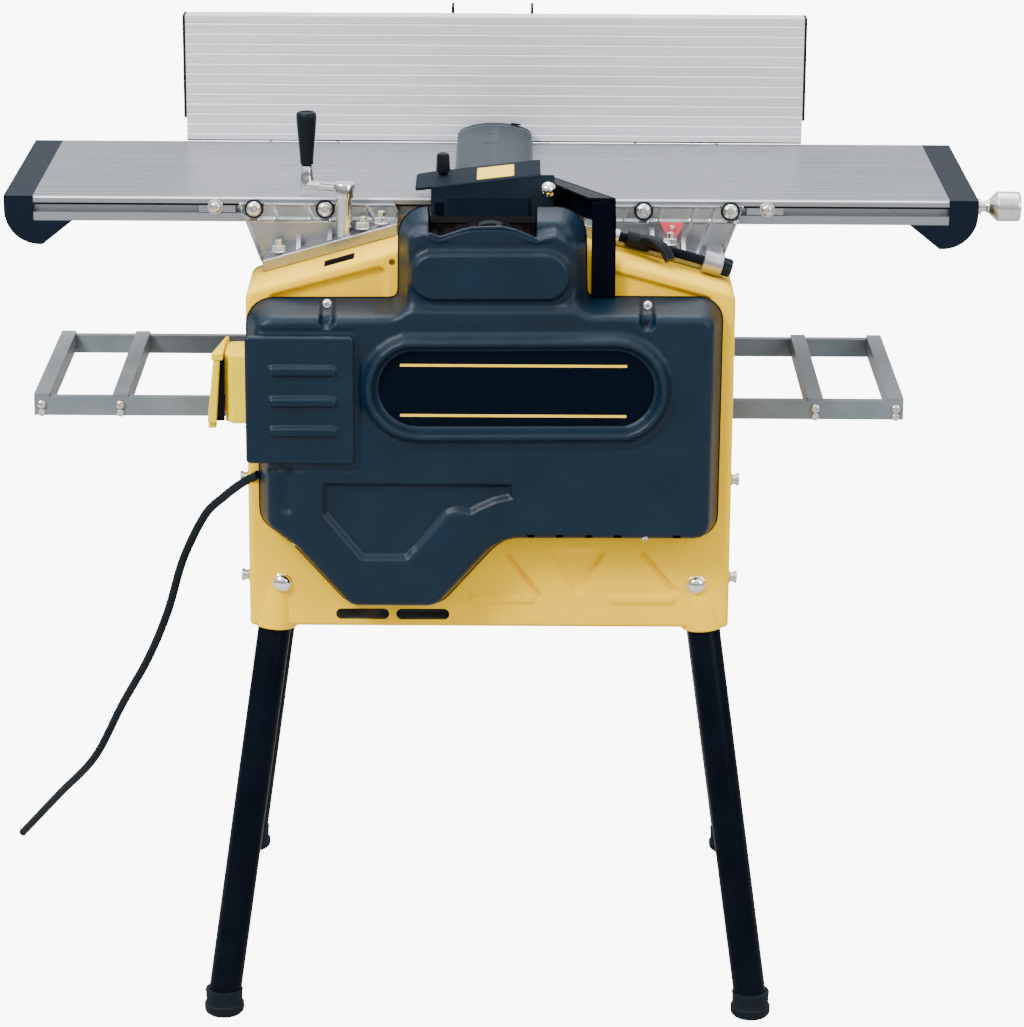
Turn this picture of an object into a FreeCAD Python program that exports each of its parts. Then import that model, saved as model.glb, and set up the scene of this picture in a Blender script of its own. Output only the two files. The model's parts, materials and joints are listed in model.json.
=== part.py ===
"""Combined surface planer and thickness planer on four splayed legs.

Row frame: millimetres, +Z up, +X along the tables towards the infeed end, +Y from the drive cover to the fence.
The origin is on the floor, at the centre of the four feet.
"""
import FreeCAD, Part
import Sketcher
import math
import os
import re

DIMENSIONS = {
    # surface tables
    "knob_z": 843,
    "table_top": 852, "table_under": 826, "table_front": -103, "table_back": 177, "table_reach": 470,
    "throat_half": 30, "cap_long": 30, "cap_low": 801, "cap_round": 36,
    "slot_low": 835, "slot_high": 845, "slot_deep": 9, "rib_pitch": 10, "rib_deep": 0.8,
    # body shell
    "body_half": 247, "wall_out": 203, "sheet": 3, "flange_deep": 103, "rear_flange_deep": 30,
    "body_low": 421, "ledge_low": 777, "ledge_inner": 95, "tower_top": 848, "socket_low": 413, "socket_high": 494, "socket_rad": 23,
    "socket_x": 217, "socket_y": 183,
    # inclined ways under both tables
    "way_slope": 16, "flange_thick": 12.5, "web_thick": 6, "web_top": 847, "bracket_inner": 95,
    "bracket_outer": 233, "bracket_tip": 259, "lock_rad": 5,
    # legs and feet
    "leg_rad": 17, "leg_top": 455, "leg_end": 18, "foot_x": 278, "foot_y": 231, "foot_rad": 21, "foot_disc": 13.5,
    "foot_tall": 28,
    # cutter block and feed
    "cutter_z": 826, "block_rad": 25, "knife_reach": 26, "cut_front": -93, "cut_back": 167, "journal_rad": 12,
    "knife_thick": 3, "feed_x": 48, "feed_z": 809.5, "feed_rad": 12.5, "feed_journal": 7, "run_gap": 0.05,
    # motor and belt
    "motor_x": -75, "motor_z": 520, "motor_rad": 54, "motor_back": -25, "motor_front": -195, "shaft_rad": 9,
    "pulley_back": -212, "pulley_front": -228, "cutter_pulley_rad": 24, "motor_pulley_rad": 30, "belt_thick": 4,
    # thicknessing table and its lift
    "bed_half": 195, "bed_top": 640, "bed_thick": 24, "bed_front": -84, "bed_back": 153, "column_x": 150,
    "column_front": -123, "column_back": 181, "column_rad": 8, "nut_rad": 14, "column_low": 430,
    "column_top": 790, "frame_low": 596, "frame_high": 616, "pan_top": 428,
    # extension frames
    "rail_front": -93, "rail_back": 162, "rail_thick": 10, "rail_low": 617, "rail_high": 637,
    "frame_left": -476, "frame_right": 431, "bar_low": 620, "bar_wide": 16, "bar_sheet": 2,
    # crank
    "hub_rad": 8, "arm_low": 860, "arm_high": 869, "arm_long": 49, "grip_low": 884, "grip_high": 939,
    "grip_rad": 10,
    # fence
    "fence_left": -334, "fence_right": 338, "fence_low": 854, "fence_high": 990, "fence_deep": 26,
    "fence_skin": 8, "fence_groove_pitch": 11, "pivot_y": 194, "pivot_z": 863, "pivot_rad": 3,
    "knuckle_rad": 4.5, "side_plate_low": -44, "side_plate_high": 42.5, "bar_rest": 853.5, "bar_rise": 6,
    "bar_half": 20, "bar_back": 372,
    # cutter guard
    "guard_left": -38, "guard_right": 43, "guard_low": 859, "guard_rise": 9.5, "guard_near": -66,
    "guard_far": 168, "guard_sheet": 3, "head_left": -61, "head_right": 50, "head_top": 873,
    "head_front": -146, "head_deep": 74,
    # drive cover
    "cover_face": 248, "cover_sheet": 3,
    # switch
    "switch_low": 626, "switch_high": 715, "switch_front": -195, "switch_back": -135, "switch_face": 270,
    "flap_face": 285,
}

doc = FreeCAD.newDocument("thickness_planer")
sheet = doc.addObject("Spreadsheet::Sheet", "dims")
for row, (alias, amount) in enumerate(DIMENSIONS.items(), start=1):
    sheet.set(f"A{row}", alias)
    sheet.set(f"B{row}", str(amount))
    sheet.setAlias(f"B{row}", alias)
doc.recompute()

NODES = {}
X_AXIS = FreeCAD.Vector(1, 0, 0)
Y_AXIS = FreeCAD.Vector(0, 1, 0)
Z_AXIS = FreeCAD.Vector(0, 0, 1)
TURN = {"X": FreeCAD.Rotation(Y_AXIS, 90), "Y": FreeCAD.Rotation(X_AXIS, -90), "Z": FreeCAD.Rotation()}
PLANE_OF = {"X": "YZ_Plane", "Y": "XZ_Plane", "Z": "XY_Plane"}


def bind(thing, prop, text):
    """Bind a property to the sheet: every alias in the text becomes a reference to its cell."""
    words = re.sub(r"[a-z][a-z_]+", lambda found: "dims." + found[0] if found[0] in DIMENSIONS else found[0],
                   str(text))
    thing.setExpression(prop, words)


def box(name, x, y, z):
    """A block between two ends along each axis."""
    block = doc.addObject("Part::Box", name)
    for axis, size, (low, high) in zip("xyz", ("Length", "Width", "Height"), (x, y, z)):
        bind(block, f"Placement.Base.{axis}", low)
        bind(block, size, f"({high}) - ({low})")
    return block


def cylinder(name, axis, centre, ends, radius):
    """A round bar along an axis. The centre gives the two other coordinates in X, Y, Z order."""
    bar = doc.addObject("Part::Cylinder", name)
    bar.Placement = FreeCAD.Placement(FreeCAD.Vector(), TURN[axis])
    place = dict(zip([letter for letter in "XYZ" if letter != axis], centre))
    place[axis] = ends[0]
    for letter in "XYZ":
        bind(bar, f"Placement.Base.{letter.lower()}", place[letter])
    bind(bar, "Height", f"({ends[1]}) - ({ends[0]})")
    bind(bar, "Radius", radius)
    return bar


def cone(name, axis, centre, ends, radii):
    """A tapered bar along an axis, from the first radius to the second."""
    taper = doc.addObject("Part::Cone", name)
    taper.Placement = FreeCAD.Placement(FreeCAD.Vector(), TURN[axis])
    place = dict(zip([letter for letter in "XYZ" if letter != axis], centre))
    place[axis] = ends[0]
    for letter in "XYZ":
        bind(taper, f"Placement.Base.{letter.lower()}", place[letter])
    bind(taper, "Height", f"({ends[1]}) - ({ends[0]})")
    bind(taper, "Radius1", radii[0])
    bind(taper, "Radius2", radii[1])
    return taper


def hexagon(name, centre, low, high, across):
    """An upright hexagonal head."""
    prism = doc.addObject("Part::Prism", name)
    for letter, text in zip("xyz", (*centre, low)):
        bind(prism, f"Placement.Base.{letter}", text)
    bind(prism, "Height", f"({high}) - ({low})")
    bind(prism, "Circumradius", f"({across}) / 1.732")
    return prism


def fuse(name, *pieces):
    joined = doc.addObject("Part::MultiFuse", name)
    joined.Shapes = list(pieces)
    return joined


def group(name, *pieces):
    """Separate solids kept side by side in one node."""
    bundle = doc.addObject("Part::Compound", name)
    bundle.Links = list(pieces)
    return bundle


def cut(name, base, *tools):
    trimmed = doc.addObject("Part::Cut", name)
    trimmed.Base = base
    trimmed.Tool = tools[0] if len(tools) == 1 else fuse(name + "_tools", *tools)
    return trimmed


def outline(body, name, axis, corners, start):
    """A closed outline of straight edges, with every corner bound to the sheet."""
    sketch = body.newObject("Sketcher::SketchObject", name)
    plane = [item for item in body.Origin.OriginFeatures if item.Role == PLANE_OF[axis]][0]
    sketch.AttachmentSupport = [(plane, "")]
    sketch.MapMode = "FlatFace"
    bind(sketch, "AttachmentOffset.Base.z", start)
    count = len(corners)
    turn = 2 * math.pi / count
    first = [FreeCAD.Vector(100 * math.cos(turn * i), 100 * math.sin(turn * i), 0) for i in range(count)]
    for i in range(count):
        sketch.addGeometry(Part.LineSegment(first[i], first[(i + 1) % count]))
    for i in range(count):
        sketch.addConstraint(Sketcher.Constraint("Coincident", i, 2, (i + 1) % count, 1))
    for i, corner in enumerate(corners):
        for kind, text, guess in zip(("DistanceX", "DistanceY"), corner, (first[i].x, first[i].y)):
            number = sketch.addConstraint(Sketcher.Constraint(kind, -1, 1, i, 1, guess))
            bind(sketch, f"Constraints[{number}]", text)
    return sketch


def extrusion(name, axis, corners, low, high):
    """A body padded along an axis between two ends. The corners are the two other coordinates."""
    body = doc.addObject("PartDesign::Body", name)
    start = f"-({high})" if axis == "Y" else low
    pad = body.newObject("PartDesign::Pad", name + "_pad")
    pad.Profile = outline(body, name + "_outline", axis, corners, start)
    bind(pad, "Length", f"({high}) - ({low})")
    body.Tip = pad
    return body


def round_edges(body, axis, radius, near=None):
    """Round the edges that run along an axis; near keeps only those that pass a test on their middle point."""
    doc.recompute()
    base = body.Tip
    ways = {"X": X_AXIS, "Y": Y_AXIS, "Z": Z_AXIS}[axis]
    names = []
    for number, edge in enumerate(base.Shape.Edges, start=1):
        middle = edge.valueAt((edge.FirstParameter + edge.LastParameter) / 2)
        along = abs(edge.tangentAt(edge.FirstParameter).dot(ways)) > 0.999
        if along and (near is None or near(middle)):
            names.append(f"Edge{number}")
    fillet = body.newObject("PartDesign::Fillet", body.Name + f"_round{len(body.Group)}")
    fillet.Base = (base, names)
    bind(fillet, "Radius", radius)
    body.Tip = fillet
    return body


def hollow(body, thickness, open_face):
    """Shell a body, left open at the one face that passes the test on its centre."""
    doc.recompute()
    base = body.Tip
    names = [f"Face{i}" for i, face in enumerate(base.Shape.Faces, start=1) if open_face(face.CenterOfMass)]
    shell = body.newObject("PartDesign::Thickness", body.Name + "_shell")
    shell.Base = (base, names)
    shell.Reversed = True
    bind(shell, "Value", thickness)
    body.Tip = shell
    return body


def node(label, thing):
    """Register a finished piece under its own name."""
    thing.Label = label
    NODES[label] = thing
    return thing


WAY = "tan(way_slope)"
SIDES = (("left", -1), ("right", 1))


LOCK_START = FreeCAD.Vector(118, -150, 827)


def way_direction():
    """Unit direction down the infeed way, outward from the cutter."""
    slope = math.radians(float(sheet.way_slope))
    return FreeCAD.Vector(math.cos(slope), 0, -math.sin(slope))


def way_bar(name, start, near, far, radius):
    """A round bar that lies along the infeed way, between two distances from a start point."""
    bar = doc.addObject("Part::Cylinder", name)
    bar.Placement = FreeCAD.Placement(start + way_direction() * near, FreeCAD.Rotation(Z_AXIS, way_direction()))
    bind(bar, "Radius", radius)
    bar.Height = far - near
    return bar


def ledge(x):
    """Height of the inclined way at a distance x from the middle of the machine."""
    return f"(ledge_low + (body_half - ({x})) * {WAY})"


# ---------------------------------------------------------------- body shell, legs, feet
def wall(name, side):
    """Pressed side wall: a plate with a bearing tower, and a turned-in flange along its sides, base and ways."""
    low, high = ("-wall_out", "-wall_out + sheet") if side < 0 else ("wall_out - sheet", "wall_out")
    plate = extrusion(name + "_plate", "Y", [
        ("-body_half", "body_low"), ("body_half", "body_low"), ("body_half", "ledge_low"),
        ("ledge_inner", ledge("ledge_inner")), ("ledge_inner - 30", "tower_top"),
        ("-ledge_inner + 30", "tower_top"), ("-ledge_inner", ledge("ledge_inner")), ("-body_half", "ledge_low"),
    ], low, high)
    low, high = ("-wall_out", "-wall_out + flange_deep") if side < 0 else ("wall_out - rear_flange_deep", "wall_out")
    inner = "body_half - sheet"
    strip = extrusion(name + "_flange", "Y", [
        ("-ledge_inner", ledge("ledge_inner")), ("-body_half", "ledge_low"), ("-body_half", "body_low"),
        ("body_half", "body_low"), ("body_half", "ledge_low"), ("ledge_inner", ledge("ledge_inner")),
        ("ledge_inner", ledge("ledge_inner") + " - sheet"), (inner, "ledge_low - sheet"),
        (inner, "body_low + sheet"), (f"-({inner})", "body_low + sheet"), (f"-({inner})", "ledge_low - sheet"),
        ("-ledge_inner", ledge("ledge_inner") + " - sheet"),
    ], low, high)
    y_skin = ("-wall_out - 5", "-wall_out + 5") if side < 0 else ("wall_out - 5", "wall_out + 5")
    tools = [cylinder(f"{name}_bore", "Y", ("0", "cutter_z"), y_skin, "journal_rad + 6")]
    for word, sign in SIDES:
        tools.append(cylinder(f"{name}_feed_hole_{word}", "Y", (f"{sign} * feed_x", "feed_z"), y_skin,
                              "feed_journal + 4"))
        x_seat = (f"{sign} * (socket_x - socket_rad)", f"{sign} * (body_half + 1)")[::sign]
        y_seat = ("socket_y - socket_rad", "wall_out + 1") if side > 0 else \
            ("-wall_out - 1", "-socket_y + socket_rad")
        tools.append(box(f"{name}_socket_seat_{word}", x_seat, y_seat, ("body_low - 5", "socket_high")))
    if side < 0:
        tools.append(cylinder("crank_hole", "Z", ("-column_x", "column_front"), ("ledge_low - 5", "tower_top"), 11))
        tools.append(cylinder("motor_shaft_hole", "Y", ("motor_x", "motor_z"), y_skin, "shaft_rad + 4"))
        for number, start in enumerate((-158, -96)):
            tools.append(box(f"hand_slot_{number}", (start, start + 55), y_skin, ("body_low + 6", "body_low + 19")))
        tools.append(box("way_slot", (-172, -140), ("-wall_out + 8", "-wall_out + 22"),
                         ("ledge_low - 5", "tower_top")))
    return cut(name, fuse(name + "_blank", plate, strip), *tools)


def leg_bar(name, x_sign, y_sign):
    """Round leg tube, splayed both ways from its socket to its foot."""
    top = FreeCAD.Vector(x_sign * sheet.socket_x, y_sign * sheet.socket_y, sheet.leg_top)
    foot = FreeCAD.Vector(x_sign * sheet.foot_x, y_sign * sheet.foot_y, sheet.leg_end)
    run = "sqrt((foot_x - socket_x)^2 + (foot_y - socket_y)^2 + (leg_top - leg_end)^2)"
    bar = doc.addObject("Part::Cylinder", name)
    bar.Placement = FreeCAD.Placement(foot, FreeCAD.Rotation(Z_AXIS, top - foot))
    bind(bar, "Height", run)
    bind(bar, "Radius", "leg_rad")
    return bar


def body_and_legs():
    node("front_wall", wall("front_wall", -1))
    node("rear_wall", wall("rear_wall", 1))
    legs, sockets, feet, studs = [], [], [], []
    for word, x_sign in SIDES:
        for end, y_sign in (("front", -1), ("rear", 1)):
            tag = f"{end}_{word}"
            leg = leg_bar(f"leg_{tag}", x_sign, y_sign)
            legs.append(leg)
            place = (f"{x_sign} * socket_x", f"{y_sign} * socket_y")
            post = cylinder(f"socket_{tag}", "Z", place, ("socket_low", "socket_high"), "socket_rad")
            x_block = (f"{x_sign} * (socket_x - socket_rad)", f"{x_sign} * body_half")
            y_block = (f"{y_sign} * (socket_y - socket_rad)", f"{y_sign} * wall_out")
            block = box(f"socket_block_{tag}", x_block if x_sign > 0 else x_block[::-1],
                        y_block if y_sign > 0 else y_block[::-1], ("body_low", "socket_high"))
            sockets.append(cut(f"socket_bored_{tag}", fuse(f"socket_blank_{tag}", post, block), leg))
            ground = (f"{x_sign} * foot_x", f"{y_sign} * foot_y")
            disc = cylinder(f"foot_disc_{tag}", "Z", ground, ("0", "foot_disc"), "foot_rad")
            sleeve = cylinder(f"foot_sleeve_{tag}", "Z", ground, ("foot_disc - 0.5", "foot_tall"), "foot_rad - 0.5")
            feet.append(fuse(f"foot_{tag}", disc, cut(f"foot_sleeve_bored_{tag}", sleeve, leg)))
            out = "-wall_out - 7" if y_sign < 0 else "wall_out + 3"
            studs.append(cylinder(f"dome_{tag}", "Y", (f"{x_sign} * 213", "473"), (out, f"{out} + 4"), 10))
            for height in (473, 578):
                start = "body_half" if x_sign > 0 else "-body_half - 8"
                stud_y = "-wall_out + 50" if y_sign < 0 else "wall_out - 15"
                studs.append(cylinder(f"stud_{tag}_{height}", "X", (stud_y, height), (start, f"{start} + 8"), 6))
    node("legs", group("legs", *legs))
    node("leg_sockets", group("leg_sockets", *sockets))
    node("rubber_feet", group("rubber_feet", *feet))
    node("body_studs", group("body_studs", *studs))
    pan = box("pan_plate", ("-body_half + 60", "body_half - 60"), ("-wall_out + sheet", "wall_out - sheet"),
              ("body_low + sheet", "pan_top"))
    bosses = []
    for word, sign in SIDES:
        for end in ("front", "back"):
            place = (f"{sign} * column_x", f"column_{end}")
            bosses.append(cylinder(f"pan_boss_{word}_{end}", "Z", place, ("pan_top - 1", "pan_top + 24"),
                                   "nut_rad"))
    lead = cylinder("pan_lead_bore", "Z", ("-column_x", "column_front"), ("body_low", "pan_top + 30"),
                    "column_rad + run_gap")
    columns = []
    for word, sign, end in (("left", -1, "back"), ("right", 1, "front"), ("right", 1, "back")):
        place = (f"{sign} * column_x", f"column_{end}")
        columns.append(cylinder(f"column_{word}_{end}", "Z", place, ("column_low", "column_top"), "column_rad"))
    node("guide_columns", group("guide_columns", *columns))
    node("base_pan", cut("base_pan", fuse("pan_blank", pan, *bosses), lead, *columns))


# ---------------------------------------------------------------- surface tables and their brackets
def table(name, sign):
    """Ribbed aluminium extrusion with a bolt slot along both edges."""
    ends = ("throat_half", "table_reach") if sign > 0 else ("-table_reach", "-throat_half")
    front, back, deep = "table_front", "table_back", "slot_deep"
    body = extrusion(name + "_profile", "X", [
        (front, "table_under"), (f"{front} + 22", "table_under"), (f"{front} + 22", "table_top - 8"),
        (f"{back} - 22", "table_top - 8"), (f"{back} - 22", "table_under"), (back, "table_under"),
        (back, "slot_low"), (f"{back} - {deep}", "slot_low"), (f"{back} - {deep}", "slot_high"),
        (back, "slot_high"), (back, "table_top"), (front, "table_top"), (front, "slot_high"),
        (f"{front} + {deep}", "slot_high"), (f"{front} + {deep}", "slot_low"), (front, "slot_low"),
    ], *ends)
    grooves = []
    for number in range(1, 28):
        middle = f"table_front + {number} * rib_pitch"
        grooves.append(box(f"{name}_groove_{number}", (f"{ends[0]} - 1", f"{ends[1]} + 1"),
                           (f"{middle} - 0.7", f"{middle} + 0.7"), ("table_top - rib_deep", "table_top + 1")))
    ribs = []
    for number, middle in enumerate((-30, 37, 104)):
        ribs.append(box(f"{name}_web_{number}", ends, (middle - 3, middle + 3), ("table_under", "table_top - 7")))
    return cut(name, fuse(name + "_blank", body, *ribs), *grooves)


def end_cap(name, sign):
    """Moulded cap that closes the table's outer end, with a rounded outer corner and a slanted underside."""
    reach = "table_reach"
    body = extrusion(name, "Y", [
        (f"{sign} * {reach}", "table_top"), (f"{sign} * ({reach} + cap_long)", "table_top"),
        (f"{sign} * ({reach} + cap_long)", "cap_low"), (f"{sign} * ({reach} - 9)", "cap_low"),
        (f"{sign} * ({reach} - 40)", "table_under"), (f"{sign} * {reach}", "table_under"),
    ], "table_front - 1", "table_back + 1")
    outer = sign * float(sheet.table_reach + sheet.cap_long)
    return round_edges(body, "Y", "cap_round", lambda middle: abs(middle.x - outer) < 1 and middle.z < 810)


def bracket(name, sign, y_web, y_flange):
    """Cast bracket: an upright web bolted to the table's slot, standing on a flange that follows the way."""
    tip = f"{sign} * bracket_tip"
    inner, outer = f"{sign} * bracket_inner", f"{sign} * bracket_outer"
    lift = 0.05 if sign > 0 else 0
    low_in, low_out = f"{ledge('bracket_inner')} + {lift}", f"{ledge('bracket_outer')} + {lift}"
    web = extrusion(name + "_web", "Y", [
        (inner, low_in), (outer, low_out), (f"{sign} * (bracket_outer + 4)", f"{ledge('bracket_outer')} + 6"),
        (tip, "web_top"), (f"{inner} + {sign} * 4", "web_top"), (inner, "web_top - 8"),
    ], *y_web)
    foot = extrusion(name + "_foot", "Y", [
        (inner, low_in), (outer, low_out), (outer, f"{low_out} + flange_thick"),
        (inner, f"{low_in} + flange_thick"),
    ], *y_flange)
    rib_ends = (y_flange[0], y_web[1]) if "front" in name else (y_web[0], y_flange[1])
    ribs = []
    for number, middle in enumerate((165, 197)):
        ribs.append(box(f"{name}_rib_{number}", (f"{sign} * {middle} - 2.5", f"{sign} * {middle} + 2.5"),
                        rib_ends, (f"{ledge(middle)} + 6", f"{ledge(middle)} + 24")))
    joined = fuse(name + "_joined", web, foot, *ribs)
    if sign < 0 and "front" in name:
        hole = cylinder(name + "_crank_hole", "Z", ("-column_x", "column_front"),
                        ("ledge_low", "table_top"), "column_rad + run_gap")
        return cut(name, joined, hole)
    if name == "infeed_front_bracket":
        boss = way_bar("lock_boss", LOCK_START, 102, 122, 12)
        arm = box("lock_boss_arm", (219, 233), (LOCK_START.y, y_web[0]), (790, 802))
        bore = way_bar("lock_bore", LOCK_START, 90, 130, "lock_rad + run_gap")
        return cut(name, fuse(name + "_with_boss", joined, boss, arm), bore)
    return joined


def slot_screws(name, sign, places, face):
    screws = []
    for number, place in enumerate(places):
        face_ends = (f"{face} - 6", face)
        screws.append(cylinder(f"{name}_{number}", "Y", (f"{sign} * {place}", "slot_low + 6"), face_ends, 8))
    return screws


def flange_nuts(name, sign, places, y_place):
    nuts = []
    for number, place in enumerate(places):
        seat = f"{ledge(place)} + flange_thick"
        nut = hexagon(f"{name}_nut_{number}", (f"{sign} * {place}", y_place), f"{seat} + 3", f"{seat} + 9", 13)
        washer = cylinder(f"{name}_washer_{number}", "Z", (f"{sign} * {place}", y_place),
                          (f"{seat} + 2.4", f"{seat} + 3.4"), 8)
        stud = cylinder(f"{name}_stud_{number}", "Z", (f"{sign} * {place}", y_place),
                        (f"{seat} + 3", f"{seat} + 14"), 4)
        nuts.append(fuse(f"{name}_set_{number}", nut, washer, stud))
    return nuts


def tables():
    for word, side, sign in (("outfeed", "left", -1), ("infeed", "right", 1)):
        node(f"{word}_table", table(f"{word}_table", sign))
        cap = end_cap(f"{word}_cap", sign)
        if sign > 0:
            cap = cut("infeed_cap_bored", cap, cylinder("knob_bore", "X", (-88, "knob_z"),
                                                        ("table_reach - 1", "table_reach + 40"), 4.05))
        node(f"{word}_cap", cap)
        node(f"{word}_front_bracket", bracket(f"{word}_front_bracket", sign,
                                              ("table_front - web_thick", "table_front"),
                                              ("table_front - 36", "table_front - 5")))
        node(f"{word}_rear_bracket", bracket(f"{word}_rear_bracket", sign,
                                             ("table_back", "table_back + web_thick"),
                                             ("table_back + 5", "table_back + 22")))
        places = (170, 243) if sign < 0 else (156, 245)
        nut_places = (112, 131, 217) if sign < 0 else (112, 183)
        front = slot_screws(f"{word}_front_screw", sign, places, "table_front - web_thick")
        front += slot_screws(f"{word}_free_screw", sign, (283,), "table_front")
        rear = slot_screws(f"{word}_rear_screw", sign, places, "table_back + web_thick + 6")
        nuts = flange_nuts(f"{word}_front", sign, nut_places, "table_front - 22")
        node(f"{word}_bolts", group(f"{word}_bolts", *front, *rear, *nuts))


def depth_knob():
    """Knurled depth-of-cut knob with its spindle through the infeed end cap."""
    place = (-88, "knob_z")
    node("depth_knob", fuse(
        "depth_knob", cylinder("knob_spindle", "X", place, (471, 501), 4),
        cylinder("knob_shank", "X", place, (500.2, 510), 6),
        cone("knob_taper", "X", place, (510, 520), (6, 15.5)),
        cylinder("knob_grip", "X", place, (520, 544), 15.5)))


def table_lock():
    """Cranked lever on a clamp shaft that lies along the infeed way and ends in a boss of the front bracket."""
    shaft = way_bar("lock_shaft", LOCK_START, 0, 123, "lock_rad")
    hub = way_bar("lock_hub", LOCK_START, 22, 44, "lock_rad + 3.5")
    nut = way_bar("lock_nut", LOCK_START, 122.5, 132, "lock_rad + 4")
    arm = doc.addObject("Part::Cylinder", "lock_arm")
    root = LOCK_START + way_direction() * 38
    arm.Placement = FreeCAD.Placement(root, FreeCAD.Rotation(Z_AXIS, FreeCAD.Vector(0.75, -0.6, -0.28)))
    bind(arm, "Radius", "lock_rad + 1")
    arm.Height = 34
    node("table_lock_lever", fuse("table_lock_lever", shaft, hub, nut, arm))
    node("depth_pointer", extrusion("depth_pointer", "Y", [(174, 829), (197, 829), (185.5, 809)],
                                    "table_front - web_thick - 2", "table_front - web_thick"))


# ---------------------------------------------------------------- cutter block, feed rollers, drive
def cutter():
    place = ("0", "cutter_z")
    block = cylinder("block_core", "Y", place, ("cut_front", "cut_back"), "block_rad")
    journal = cylinder("block_journal", "Y", place, ("-wall_out - 36", "wall_out"), "journal_rad")
    slots, knives = [], []
    for number, sign in enumerate((1, -1)):
        low, high = ("0", "knife_thick") if sign > 0 else ("-knife_thick", "0")
        reach = ("cutter_z + 13", "cutter_z + knife_reach - 0.5") if sign > 0 else \
            ("cutter_z - knife_reach + 0.5", "cutter_z - 13")
        slots.append(box(f"knife_slot_{number}", (low, high), ("cut_front - 1", "cut_back + 1"),
                         ("cutter_z + 13", "cutter_z + 30") if sign > 0 else ("cutter_z - 30", "cutter_z - 13")))
        knives.append(box(f"knife_{number}", (low, high), ("cut_front", "cut_back"), reach))
    node("cutter_block", cut("cutter_block", fuse("block_turned", block, journal), *slots))
    node("cutter_knives", group("cutter_knives", *knives))
    rim = cylinder("cutter_pulley_rim", "Y", place, ("pulley_front", "pulley_back"), "cutter_pulley_rad")
    node("cutter_pulley", cut("cutter_pulley", rim, journal))


def bearings():
    """Flanged bearing housings of the cutter block and the feed rollers, one set in each wall."""
    pieces = []
    for word, low, high in (("front", "-wall_out + sheet", "-wall_out + 27"), ("rear", "wall_out - 20",
                                                                              "wall_out - sheet")):
        plate = extrusion(f"bearing_{word}", "Y", [(-70, 790), (70, 790), (70, 828), (34, 847), (-34, 847),
                                                   (-70, 828)], low, high)
        tools = [cylinder(f"bearing_bore_{word}", "Y", ("0", "cutter_z"), (f"{low} - 1", f"{high} + 1"),
                          "journal_rad + run_gap")]
        for side, sign in SIDES:
            tools.append(cylinder(f"bush_bore_{word}_{side}", "Y", (f"{sign} * feed_x", "feed_z"),
                                  (f"{low} - 1", f"{high} + 1"), "feed_journal + run_gap"))
        pieces.append(cut(f"bearing_set_{word}", plate, *tools))
    node("bearing_blocks", group("bearing_blocks", *pieces))


def feed_rollers():
    for word, sign in (("outfeed", -1), ("infeed", 1)):
        place = (f"{sign} * feed_x", "feed_z")
        core = cylinder(f"{word}_core", "Y", place, ("cut_front", "cut_back"), "feed_rad")
        journal = cylinder(f"{word}_journal", "Y", place, ("-wall_out - 30", "wall_out"), "feed_journal")
        teeth = cylinder(f"{word}_sprocket", "Y", place, ("-wall_out - 30", "-wall_out - 27"), 20)
        node(f"{word}_feed_roller", fuse(f"{word}_feed_roller", core, journal, teeth))


def kickback_fingers():
    """Hanging anti-kickback fingers on one rod in front of the infeed roller."""
    rod = cylinder("finger_rod", "Y", (80, 817), ("-wall_out + 28", "wall_out - 22"), 4)
    fingers = [rod]
    for number in range(19):
        start = f"cut_front + 6 + {number} * 13.5"
        fingers.append(extrusion(f"finger_{number}", "Y", [(75, 817), (85, 817), (84, 808), (78, 797.5),
                                                           (76, 808)], start, f"{start} + 5"))
    node("kickback_fingers", fuse("kickback_fingers", *fingers))


def motor():
    place = ("motor_x", "motor_z")
    case = cylinder("motor_case", "Y", place, ("motor_front", "motor_back"), "motor_rad")
    foot = box("motor_foot", ("motor_x - 40", "motor_x + 40"), ("motor_front + 20", "motor_back - 20"),
               ("pan_top", "motor_z - 40"))
    bore = cylinder("motor_bore", "Y", place, ("motor_front - 1", "motor_back - 20"), "shaft_rad + run_gap")
    fins = []
    for number in range(8):
        start = f"motor_front + 30 + {number} * 15"
        outer = cylinder(f"fin_gap_{number}", "Y", place, (start, f"{start} + 6"), "motor_rad + 1")
        inner = cylinder(f"fin_core_{number}", "Y", place, (start, f"{start} + 6"), "motor_rad - 5")
        fins.append(cut(f"fin_ring_{number}", outer, inner))
    node("motor_housing", cut("motor_housing", fuse("motor_blank", case, foot), bore, *fins))
    shaft = cylinder("motor_shaft", "Y", place, ("pulley_front - 6", "motor_back - 25"), "shaft_rad")
    rim = cylinder("motor_pulley_rim", "Y", place, ("pulley_front", "pulley_back"), "motor_pulley_rad")
    node("motor_rotor", fuse("motor_rotor", shaft, rim))


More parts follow.
